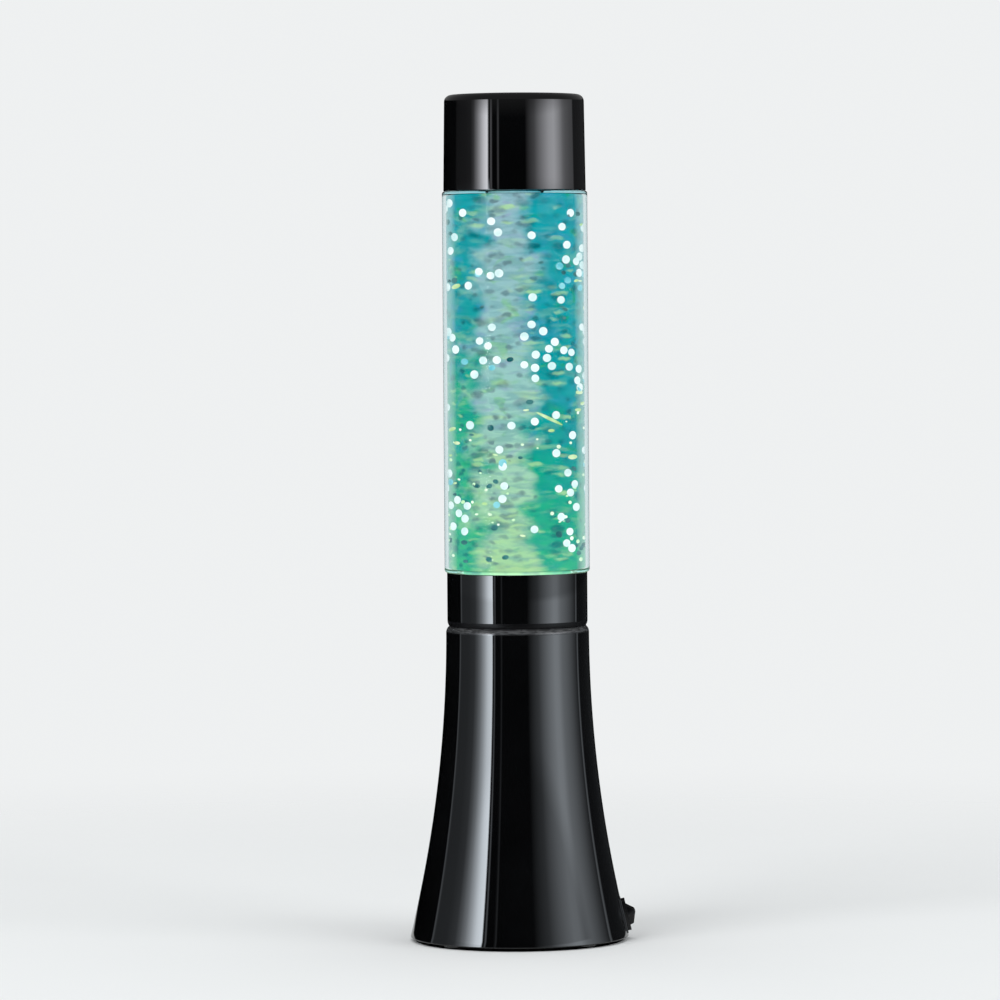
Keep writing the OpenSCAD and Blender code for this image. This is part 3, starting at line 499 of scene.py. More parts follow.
@dataclass(frozen=True)
class LitLiquid:
    """Lit liquid: teal at the sides, paler down the middle as a painted light column, greener towards the
    lamp, full of far flakes.

    Pale strips at the edges are a painted reflection of the backdrop. A pair of tones is for the sides and
    the middle, or for the foot and the top of the painted edge reflection. Places are in metres, and a span
    of the height goes from 0 to 1.
    """

    name: str
    low: float
    high: float
    sides: Stops = (
        (0.0, (0.045, 0.49, 0.24)), (0.3, (0.004, 0.425, 0.245)), (0.5, (0.003, 0.36, 0.37)),
        (0.75, (0.0, 0.358, 0.405)), (1.0, (0.0, 0.36, 0.43)))
    side_x: Range = (-0.02, 0.02)
    side_shift: Range = (-0.16, 0.14)
    # Painted light: the pale column down the middle stands for a brighter beam from the lamp below.
    light_column: Stops = (
        (0.0, (0.42, 0.70, 0.36)), (0.2, (0.42, 0.69, 0.46)), (0.4, (0.38, 0.65, 0.55)),
        (0.6, (0.33, 0.57, 0.57)), (1.0, (0.32, 0.51, 0.58)))
    light_column_x: float = -0.005
    light_column_fade: Range = (0.00575, 0.0161)
    drift: float = 45.0
    drift_stretch: Triple = (1.0, 1.0, 1.8)
    drift_span: Range = (0.2, 0.8)
    drift_reach: Range = (-0.012, 0.012)
    lilac: Swirl = Swirl((80.0, 80.0, 150.0), distortion=0.8, between=(0.46, 0.34), share=0.8)
    lilac_tones: Pair = ((0.02, 0.32, 0.50), (0.33, 0.42, 0.58))
    lilac_height: Range = (0.1, 0.55)
    lilac_rise: Range = (0.15, 1.0)
    green: Swirl = Swirl((80.0, 80.0, 150.0), distortion=0.8, between=(0.56, 0.68), share=0.75)
    green_tones: Pair = ((0.004, 0.39, 0.16), (0.24, 0.55, 0.30))
    cloud: Swirl = Swirl((60.0, 60.0, 230.0), distortion=0.5, between=(0.5, 0.7), share=1.0, detail=4.0)
    cloud_tone: Colour = (0.46, 0.70, 0.33)
    cloud_height: Range = (0.0, 0.9)
    cloud_fall: Range = (0.75, 0.4)
    cloud_inward: Range = (0.6, 1.0)
    ripple: Swirl = Swirl((110.0, 110.0, 420.0), distortion=0.6, between=(0.58, 0.38), share=0.45,
                          smooth=False)
    ripple_tones: Pair = ((0.0, 0.25, 0.29), (0.12, 0.32, 0.36))
    dark_flakes: tuple[FarFlakes, ...] = (
        FarFlakes((95.0, 95.0, 200.0), rare=0.4, share=0.8),
        FarFlakes((165.0, 165.0, 300.0), rare=0.42, share=0.85))
    dark_tones: Pair = ((0.0, 0.13, 0.16), (0.12, 0.20, 0.23))
    pale_flakes: FarFlakes = FarFlakes((85.0, 85.0, 360.0), rare=0.72, share=0.75)
    pale_tone: Colour = (0.48, 0.76, 0.36)
    # Painted reflection: pale strips at the edges of the liquid stand for the backdrop seen at grazing
    # angles.
    edge_reflection_x: Range = (0.0239, 0.0252)
    edge_reflection_share: Range = (0.0, 0.52)
    edge_reflection_tones: Pair = ((0.47, 0.68, 0.55), (0.43, 0.67, 0.69))
    body_tones: Pair = ((0.0, 0.01, 0.01), (0.0, 0.02, 0.02))
    body_span: Range = (0.3, 0.7)
    gloss: Range = (0.3, 0.5)

    def material(self) -> bpy.types.Material:
        """Makes the material.

        Returns:
            The material.
        """
        graph = Graph(self.name)
        across, _, up = graph.axes()
        height = graph.span(up, (self.low, self.high))
        drift = graph.noise(self.drift, detail=4.0, stretch=self.drift_stretch)
        shifted = graph.math("ADD", across, graph.span(drift, self.drift_span, self.drift_reach))
        # Paler down the middle: a painted light column.
        centre = graph.span(graph.away(shifted, self.light_column_x), self.light_column_fade, (1.0, 0.0), smooth=True)
        aside = graph.math("ADD", height, graph.span(across, self.side_x, self.side_shift))
        colour = graph.mix(centre, graph.ramp(aside, self.sides), graph.ramp(height, self.light_column))
        colour = self.swirled(graph, colour, height, centre)
        colour = self.flaked(graph, colour, centre)
        # Pale strips at the edges: painted reflection of the backdrop.
        edge_reflection = graph.span(graph.away(across, 0.0), self.edge_reflection_x, self.edge_reflection_share)
        graph.feed("Emission Color", graph.mix(edge_reflection, colour, graph.mix(height, *self.edge_reflection_tones)))
        graph.feed("Base Color", graph.blend(drift, self.body_span, self.body_tones))
        graph.feed("Roughness", graph.span(drift, self.body_span, self.gloss))
        graph.put(Specular_IOR_Level=0.0, Emission_Strength=1.0)
        return graph.material

    def swirled(self, graph: Graph, colour: Socket, height: Socket, centre: Socket) -> Socket:
        """Lays lilac and green patches, pale clouds and ripples over the colour.

        Args:
            graph: the material's graph.
            colour: the colour below.
            height: height in the bottle, from 0 to 1.
            centre: 1 in the painted light column and 0 at the sides.

        Returns:
            The new colour.
        """
        lilac = graph.times(self.lilac.cover(graph), graph.span(height, self.lilac_height, self.lilac_rise))
        colour = graph.mix(lilac, colour, graph.mix(centre, *self.lilac_tones))
        colour = graph.mix(self.green.cover(graph), colour, graph.mix(centre, *self.green_tones))
        fall = graph.span(height, self.cloud_height, self.cloud_fall)
        inward = graph.span(centre, (0.0, 1.0), self.cloud_inward)
        cloud = graph.times(self.cloud.cover(graph), graph.times(fall, inward))
        colour = graph.mix(cloud, colour, self.cloud_tone)
        return graph.mix(self.ripple.cover(graph), colour, graph.mix(centre, *self.ripple_tones))

    def flaked(self, graph: Graph, colour: Socket, centre: Socket) -> Socket:
        """Lays the far flakes over the colour.

        Args:
            graph: the material's graph.
            colour: the colour below.
            centre: 1 in the painted light column and 0 at the sides.

        Returns:
            The new colour.
        """
        dark = graph.mix(centre, *self.dark_tones)
        for flakes in self.dark_flakes:
            colour = graph.mix(flakes.cover(graph), colour, dark)
        return graph.mix(self.pale_flakes.cover(graph), colour, self.pale_tone)


@dataclass(frozen=True)
class Flake:
    """Thin glitter film that shines in the light of the lamp."""

    name: str
    tones: Pair
    glow: float
    patches: float = 160.0
    tone_span: Range = (0.35, 0.6)
    film: Pair = ((0.02, 0.04, 0.04), (0.05, 0.08, 0.08))
    film_span: Range = (0.3, 0.6)
    gloss: Range = (0.15, 0.35)
    gloss_span: Range = (0.3, 0.7)

    def material(self) -> bpy.types.Material:
        """Makes the material.

        Returns:
            The material.
        """
        graph = Graph(self.name)
        tone = graph.noise(self.patches, detail=1.0)
        graph.feed("Base Color", graph.blend(tone, self.film_span, self.film))
        graph.feed("Emission Color", graph.blend(tone, self.tone_span, self.tones))
        graph.feed("Roughness", graph.span(tone, self.gloss_span, self.gloss))
        graph.put(Specular_IOR_Level=0.0, Emission_Strength=self.glow)
        return graph.material


class Finish(Enum):
    """Finishes of the lamp."""

    GLOSS_BLACK = Moulded("gloss_black", ((0.0018, 0.0019, 0.0022), (0.0032, 0.0034, 0.0038)), (0.015, 0.035),
                          cloud=25.0, grain=160.0, relief=0.05, depth=0.00004)
    # The base's shoulder is dulled and painted lighter: a painted highlight band.
    BASE_BLACK = replace(GLOSS_BLACK, name="base_black", dull_and_highlight_above=0.1353)
    MATTE_BLACK = Moulded("matte_black", ((0.018, 0.018, 0.02), (0.03, 0.03, 0.032)), (0.42, 0.6),
                          relief=0.35)
    # Matte step whose very low shine darkens the collar's groove: painted shade.
    GROOVE_SHADE = Moulded("groove_shade_black", ((0.003, 0.003, 0.0035), (0.006, 0.006, 0.0065)), (0.3, 0.45),
                           shine=0.08)
    SWITCH_BLACK = Moulded("switch_black", ((0.004, 0.004, 0.0045), (0.008, 0.008, 0.009)), (0.14, 0.24),
                           shine=0.3)
    FOOT_RUBBER = Moulded("foot_rubber", ((0.016, 0.016, 0.016), (0.03, 0.03, 0.029)), (0.7, 0.9), relief=0.5)
    SEAL_RUBBER = Moulded("seal_rubber", ((0.5, 0.5, 0.5), (0.62, 0.62, 0.6)), (0.5, 0.7))
    WHITE_PLASTIC = Moulded("white_plastic", ((0.72, 0.7, 0.64), (0.82, 0.8, 0.74)), (0.28, 0.42))
    BOARD_WHITE = Moulded("board_white", ((0.7, 0.72, 0.68), (0.82, 0.84, 0.8)), (0.3, 0.45), grain=1200.0)
    LED_YELLOW = Moulded("led_yellow", ((0.85, 0.78, 0.35), (0.95, 0.9, 0.55)), (0.2, 0.35))
    WIRE_JACKET = Moulded("wire_jacket", ((0.28, 0.02, 0.015), (0.42, 0.04, 0.03)), (0.35, 0.5))
    CELL_JACKET = Moulded("cell_jacket", ((0.04, 0.06, 0.06), (0.07, 0.1, 0.1)), (0.2, 0.3), coat=0.4)
    LENS = Moulded("frosted_lens", ((0.8, 0.88, 0.85), (0.9, 0.96, 0.94)), (0.45, 0.6))
    STEEL = Metal("steel", ((0.48, 0.49, 0.51), (0.66, 0.67, 0.69)), (0.22, 0.4))
    MOTOR_STEEL = Metal("motor_steel", ((0.45, 0.46, 0.48), (0.6, 0.61, 0.63)), (0.25, 0.45))
    MAGNET = Metal("magnet", ((0.42, 0.44, 0.46), (0.55, 0.57, 0.59)), (0.08, 0.2))
    CONTACT = Metal("plated_contact", ((0.6, 0.6, 0.62), (0.76, 0.76, 0.78)), (0.12, 0.3))
    BRASS = Metal("brass_blade", ((0.6, 0.44, 0.18), (0.78, 0.6, 0.3)), (0.2, 0.4))
    BOTTLE = ClearWall("clear_bottle", (0.9, 0.97, 0.97), ior=1.08, edge_glow=(0.62, 1.0, 0.68), glow=0.25,
                       glow_z=(0.1616, 0.163), density=26.0)
    LIQUID_SKIN = ClearWall("liquid_skin", (0.88, 0.98, 0.98), ior=1.2, edge_glow=(0.2, 0.9, 0.6), glow=0.03,
                            glow_z=(0.1622, 0.22))
    LIQUID = LitLiquid("teal_liquid", low=0.1636, high=0.3259)
    WHITE_FLAKE = Flake("white_flake", ((0.72, 0.9, 0.9), (0.95, 1.0, 1.0)), glow=1.05)
    CYAN_FLAKE = Flake("cyan_flake", ((0.12, 0.55, 0.66), (0.3, 0.72, 0.8)), glow=1.0)
    SHADOW_FLAKE = Flake("shadow_flake", ((0.0, 0.10, 0.12), (0.03, 0.19, 0.20)), glow=0.9)
    GLINT_FLAKE = Flake("glint_flake", ((0.42, 0.7, 0.22), (0.85, 0.95, 0.6)), glow=1.0)
    SPARK_FLAKE = Flake("spark_flake", ((0.6, 0.9, 0.5), (0.95, 1.0, 0.85)), glow=1.1)

    @property
    def material(self) -> bpy.types.Material:
        """The finish's material, made once.

        Returns:
            The material.
        """
        if self not in MADE:
            MADE[self] = self.value.material()
        return MADE[self]


MADE: dict[Finish, bpy.types.Material] = {}


class Body(Enum):
    """Bodies that a piece can ride on."""

    BASE = "base"
    ROCKER = "rocker"
    BOTTLE = "bottle"
    CAP = "cap"


class Slot(Enum):
    """Material slots of the record that a new piece can take."""

    GLOSS = "gloss_black"
    SWITCH = "switch_black"
    BOTTLE = "clear_bottle"
    LIQUID = "teal_liquid"
    FLAKE = "glitter_flake"
    FOOT = "foot_rubber"


@dataclass(frozen=True)
class Corner:
    """A corner of a half section, in millimetres, and how far it is rounded."""

    r: float
    z: float
    rounding: float = 0.0


def arc(centre_r: float, centre_z: float, radius: float, turn: Range, steps: int = 10) -> list[Corner]:
    """Gives the corners along an arc.

    Args:
        centre_r: radius of the arc's middle, in millimetres.
        centre_z: height of the arc's middle, in millimetres.
        radius: radius of the arc, in millimetres.
        turn: first and last angle in radians, from outwards to up.
        steps: number of steps.

    Returns:
        The corners in order.
    """
    start, end = turn
    angles = [start + (end - start) * i / steps for i in range(steps + 1)]
    return [Corner(centre_r + radius * math.cos(a), centre_z + radius * math.sin(a)) for a in angles]


def edge_arc(rise: float, inward: float) -> tuple[float, float]:
    """Gives the radius and the angle in radians of an arc that starts upright and turns in.

    Args:
        rise: height of the arc.
        inward: how far it turns in.

    Returns:
        The radius and the angle.
    """
    radius = (rise ** 2 + inward ** 2) / (2 * inward)
    return radius, math.asin(rise / radius)


def bevel(mesh: bmesh.types.BMesh, geom: list, size: float, affect: str, segments: int,
          clamp: bool = False) -> None:
    """Rounds edges or corners of a mesh.

    Args:
        mesh: the mesh.
        geom: the edges or vertices.
        size: rounding in millimetres.
        affect: EDGES or VERTICES.
        segments: steps of the rounding.
        clamp: keeps neighbouring roundings apart.
    """
    bmesh.ops.bevel(mesh, geom=geom, offset=size * MM, offset_type="OFFSET", affect=affect, segments=segments,
                    profile=0.5, material=-1, clamp_overlap=clamp)


def added(mesh: bmesh.types.BMesh, before: set[bmesh.types.BMVert]) -> list[bmesh.types.BMVert]:
    """Gives the vertices that were not there before."""
    return [v for v in mesh.verts if v not in before]


def edges_at(verts: list[bmesh.types.BMVert]) -> list[bmesh.types.BMEdge]:
    """Gives the edges at some vertices, each of them once and in order."""
    return list(dict.fromkeys(e for v in verts for e in v.link_edges))


def faces_at(verts: list[bmesh.types.BMVert]) -> list[bmesh.types.BMFace]:
    """Gives the faces at some vertices, each of them once and in order."""
    return list(dict.fromkeys(f for v in verts for f in v.link_faces))


def spin_section(mesh: bmesh.types.BMesh, section: list[Corner], steps: int = ROUND_STEPS,
                 centre: tuple[float, float] = (0.0, 0.0), round_steps: int = 6) -> None:
    """Adds a round solid, spun from its half section.

    Args:
        mesh: the mesh to add to.
        section: corners of the half section in order.
        steps: steps round the axis.
        centre: place of the axis in millimetres.
        round_steps: steps of a rounded corner.
    """
    x, y = centre[0] * MM, centre[1] * MM
    before = set(mesh.verts)
    verts = [mesh.verts.new((x + c.r * MM, y, c.z * MM)) for c in section]
    mesh.faces.new(verts)
    for size in sorted({c.rounding for c in section if c.rounding}):
        picked = [v for v, c in zip(verts, section) if c.rounding == size]
        bevel(mesh, picked, size, "VERTICES", round_steps)
    outline = added(mesh, before)
    bmesh.ops.delete(mesh, geom=faces_at(outline), context="FACES_ONLY")
    on_axis = [e for e in edges_at(outline) if all(abs(v.co.x - x) < ON_AXIS for v in e.verts)]
    bmesh.ops.delete(mesh, geom=on_axis, context="EDGES")
    outline = added(mesh, before)
    bmesh.ops.spin(mesh, geom=outline + edges_at(outline), cent=(x, y, 0.0), axis=(0.0, 0.0, 1.0),
                   angle=math.tau, steps=steps, use_merge=True)
    bmesh.ops.remove_doubles(mesh, verts=added(mesh, before), dist=SPUN_MERGE)
    bmesh.ops.recalc_face_normals(mesh, faces=faces_at(added(mesh, before)))


def add_object(mesh: bmesh.types.BMesh, name: str) -> bpy.types.Object:
    """Puts a mesh into the scene.

    Args:
        mesh: the finished mesh, which is freed.
        name: name of the object.

    Returns:
        The object.
    """
    data = bpy.data.meshes.new(name)
    mesh.to_mesh(data)
    mesh.free()
    made = bpy.data.objects.new(name, data)
    bpy.context.scene.collection.objects.link(made)
    return made


def make_piece(mesh: bmesh.types.BMesh, name: str, finish: Finish, body: Body,
               replaces: tuple[str, ...] = (), crease: float = 32.0) -> bpy.types.Object:
    """Turns a mesh into a piece of the lamp.

    Args:
        mesh: the finished mesh, which is freed.
        name: name of the piece.
        finish: its finish.
        body: the body that it rides on.
        replaces: nodes that the piece stands for.
        crease: edges sharper than this many degrees stay sharp.

    Returns:
        The piece.
    """
    piece = add_object(mesh, name)
    data = piece.data
    data.polygons.foreach_set("use_smooth", [True] * len(data.polygons))
    data.set_sharp_from_angle(angle=math.radians(crease))
    data.materials.append(finish.material)
    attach(piece, body.value)
    if replaces:
        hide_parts(*replaces)
    log.info("%s: %d faces on %s", name, len(data.polygons), body.value)
    return piece


@dataclass
class BaseShell:
    """Flared base with its socket, deck and the hole for the switch, in millimetres."""

    rim_r: float = 48.0
    rim_z: float = 1.5
    rim_edge: float = 0.5
    top_r: float = 31.3
    top_z: float = 138.0
    flare_r: float = 560.0
    wall: float = 2.4
    foot_edge: float = 0.3
    shoulder_h: float = 2.8
    shoulder_in: float = 1.5
    socket_r: float = 27.9
    socket_edge: float = 0.3
    lens_z: float = 125.0
    well_r: float = 26.6
    well_edge: float = 0.2
    deck_z: float = 111.0
    deck_t: float = 3.0
    nose_r: float = 3.2
    outer_steps: int = 48
    inner_steps: int = 40
    round_steps: int = 288

    @property
    def shoulder_z(self) -> float:
        """Height at which the flare ends."""
        return self.top_z - self.shoulder_h

    @property
    def flare_middle(self) -> tuple[float, float]:
        """Middle of the flare's circle.

        Returns:
            Its radius and height.
        """
        run, rise = self.rim_r - self.top_r, self.shoulder_z - self.rim_z
        chord = math.hypot(run, rise)
        reach = math.sqrt(self.flare_r ** 2 - chord ** 2 / 4)
        return ((self.rim_r + self.top_r) / 2 + reach * rise / chord,
                (self.rim_z + self.shoulder_z) / 2 + reach * run / chord)

    def wall_r(self, z: float, inset: float = 0.0) -> float:
        """Gives the radius at a height, and an inset in from the outer face."""
        middle_r, middle_z = self.flare_middle
        return middle_r - math.sqrt((self.flare_r + inset) ** 2 - (middle_z - z) ** 2)

    def lean(self, z: float) -> float:
        """Angle of the wall from upright at a height, in radians."""
        return math.asin((self.flare_middle[1] - z) / self.flare_r)

    def flare(self, inset: float, from_z: float, to_z: float, steps: int) -> list[Corner]:
        """Gives the corners along the flared wall, from one height to another."""
        heights = [from_z + (to_z - from_z) * i / steps for i in range(steps + 1)]
        return [Corner(self.wall_r(z, inset), z) for z in heights]

    def section(self) -> list[Corner]:
        """Gives the half section of the base.

        Returns:
            The corners in order.
        """
        outer = self.flare(0.0, self.rim_z, self.shoulder_z, self.outer_steps)
        outer[0] = replace(outer[0], rounding=self.rim_edge)
        edge_r, turn = edge_arc(self.shoulder_h, self.shoulder_in)
        shoulder = arc(self.top_r - edge_r, self.shoulder_z, edge_r, (0.0, turn))[1:]
        deck_top = self.deck_z + self.deck_t
        socket = [Corner(self.socket_r, self.top_z, self.socket_edge), Corner(self.socket_r, self.lens_z),
                  Corner(self.well_r, self.lens_z, self.well_edge), Corner(self.well_r, deck_top),
                  Corner(self.nose_r, deck_top), Corner(self.nose_r, self.deck_z)]
        inner = self.flare(self.wall, self.deck_z, self.rim_z, self.inner_steps)
        inner[-1] = replace(inner[-1], rounding=self.foot_edge)
        return outer + shoulder + socket + inner

    def build(self, switch: "Switch") -> None:
        """Builds the shell and cuts the hole that the switch sits in.

        Args:
            switch: the switch.
        """
        mesh = bmesh.new()
        spin_section(mesh, self.section(), self.round_steps)
        shell = make_piece(mesh, "base_body", Finish.BASE_BLACK, Body.BASE, ("base_shell",))
        cutter = switch.cutter(self)
        cut = shell.modifiers.new("switch_hole", "BOOLEAN")
        cut.object = cutter
        cut.solver = "EXACT"
        done = bpy.data.meshes.new_from_object(shell.evaluated_get(bpy.context.evaluated_depsgraph_get()))
        shell.modifiers.clear()
        shell.data = done
        bpy.data.objects.remove(cutter)


@dataclass
class Switch:
    """Rocker switch on the flat low on the base, in millimetres and degrees.

    A face whose normal reaches facing along the switch's axis is an end of the flat, an edge past sharp is
    rounded, and a node's faces within level of each other are joined first.
    """

    z: float = 10.5
    hole_w: float = 8.8
    hole_l: float = 12.4
    hole_depth: float = 16.0
    pad_rise: float = 0.2
    pad_w: float = 11.8
    pad_l: float = 15.4
    pad_t: float = 1.6
    pad_edge: float = 0.15
    bezel_edge: float = 0.35
    rocker_edge: float = 0.3
    edge_steps: int = 3
    facing: float = 0.9
    sharp: float = 28.0
    level: float = 1.0

    def place(self, base: BaseShell) -> Matrix:
        """Gives the switch's own frame in metres, X out of the wall and Z up it."""
        turn = Matrix.Rotation(-base.lean(self.z), 4, "Y")
        return (Matrix.Translation((base.wall_r(self.z) * MM, 0.0, self.z * MM)) @ turn
                @ Matrix.Translation((self.pad_rise * MM, 0.0, 0.0)))

    def block(self, base: BaseShell, size: Triple, back: float) -> bmesh.types.BMesh:
        """Makes a block in the switch's frame.

        Args:
            base: the base that carries the switch.
            size: its size out of the wall, across it and up it.
            back: how far its middle lies behind the face of the flat.

        Returns:
            The mesh.
        """
        mesh = bmesh.new()
        scale = Matrix.Diagonal((*(length * MM for length in size), 1.0))
        inward = Matrix.Translation((-back * MM, 0.0, 0.0))
        bmesh.ops.create_cube(mesh, size=1.0, matrix=self.place(base) @ inward @ scale)
        return mesh

    def cutter(self, base: BaseShell) -> bpy.types.Object:
        """Makes the block that cuts the switch's hole into the base."""
        return add_object(self.block(base, (self.hole_depth, self.hole_w, self.hole_l), 0.0), "switch_cutter")

    def build(self, base: BaseShell) -> None:
        """Builds the flat, the bezel and the rocker.

        Args:
            base: the base that carries them.
        """
        mesh = self.block(base, (self.pad_t, self.pad_w, self.pad_l), self.pad_t / 2)
        place = self.place(base)
        out = place.to_3x3() @ Vector((1.0, 0.0, 0.0))
        holes = [f for f in mesh.faces if abs(f.normal.dot(out)) > self.facing]
        margin = (self.pad_w - self.hole_w) / 2 * MM
        for face in holes:
            bmesh.ops.inset_region(mesh, faces=[face], thickness=margin, depth=0.0)
        bmesh.ops.bridge_loops(mesh, edges=[e for f in holes for e in f.edges])
        bmesh.ops.delete(mesh, geom=holes, context="FACES_ONLY")
        behind = -self.pad_edge * MM
        rims = [e for e in mesh.edges if e.calc_face_angle(0.0) > math.radians(self.sharp)
                and all((v.co - place.translation).dot(out) > behind for v in e.verts)]
        bevel(mesh, rims, self.pad_edge, "EDGES", self.edge_steps)
        bmesh.ops.recalc_face_normals(mesh, faces=mesh.faces[:])
        make_piece(mesh, "switch_flat", Finish.GLOSS_BLACK, Body.BASE)
        self.soften("switch_housing", "switch_bezel", Body.BASE, self.bezel_edge)
        self.soften("switch_rocker", "switch_paddle", Body.ROCKER, self.rocker_edge)

    def soften(self, node: str, name: str, body: Body, edge: float) -> None:
        """Makes a piece of a node's shape with its sharp edges rounded.

        Args:
            node: the node that the piece stands for.
            name: name of the piece.
            body: the body that it rides on.
            edge: rounding.
        """
        mesh = bmesh.new()
        mesh.from_mesh(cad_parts[node].data)
        bmesh.ops.remove_doubles(mesh, verts=mesh.verts[:], dist=NODE_MERGE)
        bmesh.ops.dissolve_limit(mesh, angle_limit=math.radians(self.level), verts=mesh.verts[:],
                                 edges=mesh.edges[:], use_dissolve_boundaries=False, delimit={"NORMAL"})
        sharp = [e for e in mesh.edges if len(e.link_faces) == 2
                 and e.calc_face_angle() > math.radians(self.sharp)]
        bevel(mesh, sharp, edge, "EDGES", self.edge_steps, clamp=True)
        make_piece(mesh, name, Finish.SWITCH_BLACK, body, (node,))


@dataclass
class Collar:
    """Gloss collar under the bottle, turned in at its lower edge, in millimetres."""

    r: float = 30.7
    bore_r: float = 27.8
    low: float = 138.0
    high: float = 161.5
    groove_h: float = 2.4
    groove_in: float = 0.8
    top_edge: float = 0.35
    bore_edge: float = 0.2

    def build(self) -> None:
        """Builds the collar, with a dull matte groove at its foot whose very low shine darkens it as painted
        shade.
        """
        groove_top = self.low + self.groove_h
        edge_r, turn = edge_arc(self.groove_h, self.groove_in)
        lower = arc(self.r - edge_r, groove_top, edge_r, (-turn, 0.0))
        section = [Corner(self.bore_r, self.low), *lower, Corner(self.r, self.high, self.top_edge),
                   Corner(self.bore_r, self.high, self.bore_edge)]
        mesh = bmesh.new()
        spin_section(mesh, section)
        ring = make_piece(mesh, "collar_ring", Finish.GLOSS_BLACK, Body.BOTTLE, ("collar",))
        ring.data.materials.append(Finish.GROOVE_SHADE.material)
        for face in ring.data.polygons:
            face.material_index = int(face.center.z < groove_top * MM)


@dataclass
class Cap:
    """Tapered gloss cap with the sleeve and ribs that centre it, in millimetres."""

    rim_r: float = 31.1
    rim_edge: float = 0.4
    inner_edge: float = 0.3
    top_r: float = 30.5
    low: float = 328.0
    high: float = 370.0
    edge: float = 3.0
    edge_steps: int = 10
    wall: float = 2.2
    sleeve_r: float = 17.5
    sleeve_wall: float = 1.6
    sleeve_z: float = 335.0
    sleeve_edge: float = 0.25
    rib_z: float = 351.0
    rib_t: float = 1.4
    ribs: int = 6

    def build(self) -> None:
        """Builds the cap."""
        ceiling = self.high - self.wall
        outer_sleeve = self.sleeve_r + self.sleeve_wall
        section = [
            Corner(0.0, self.high), Corner(self.top_r, self.high, self.edge),
            Corner(self.rim_r, self.low, self.rim_edge),
            Corner(self.rim_r - self.wall, self.low, self.inner_edge),
            Corner(self.top_r - self.wall, ceiling), Corner(outer_sleeve, ceiling),
            Corner(outer_sleeve, self.sleeve_z, self.sleeve_edge),
            Corner(self.sleeve_r, self.sleeve_z, self.sleeve_edge),
            Corner(self.sleeve_r, ceiling), Corner(0.0, ceiling)]
        mesh = bmesh.new()
        spin_section(mesh, section, round_steps=self.edge_steps)
        reach = self.top_r - self.wall / 2 - outer_sleeve
        tall = ceiling + self.wall / 2 - self.rib_z
        middle = Vector((outer_sleeve + reach / 2, 0.0, self.rib_z + tall / 2)) * MM
        for i in range(self.ribs):
            place = (Matrix.Rotation(math.tau * i / self.ribs, 4, "Z") @ Matrix.Translation(middle)
                     @ Matrix.Diagonal((reach * MM, self.rib_t * MM, tall * MM, 1.0)))
            bmesh.ops.create_cube(mesh, size=1.0, matrix=place)
        make_piece(mesh, "cap_shell", Finish.GLOSS_BLACK, Body.CAP, ("top_cap",))


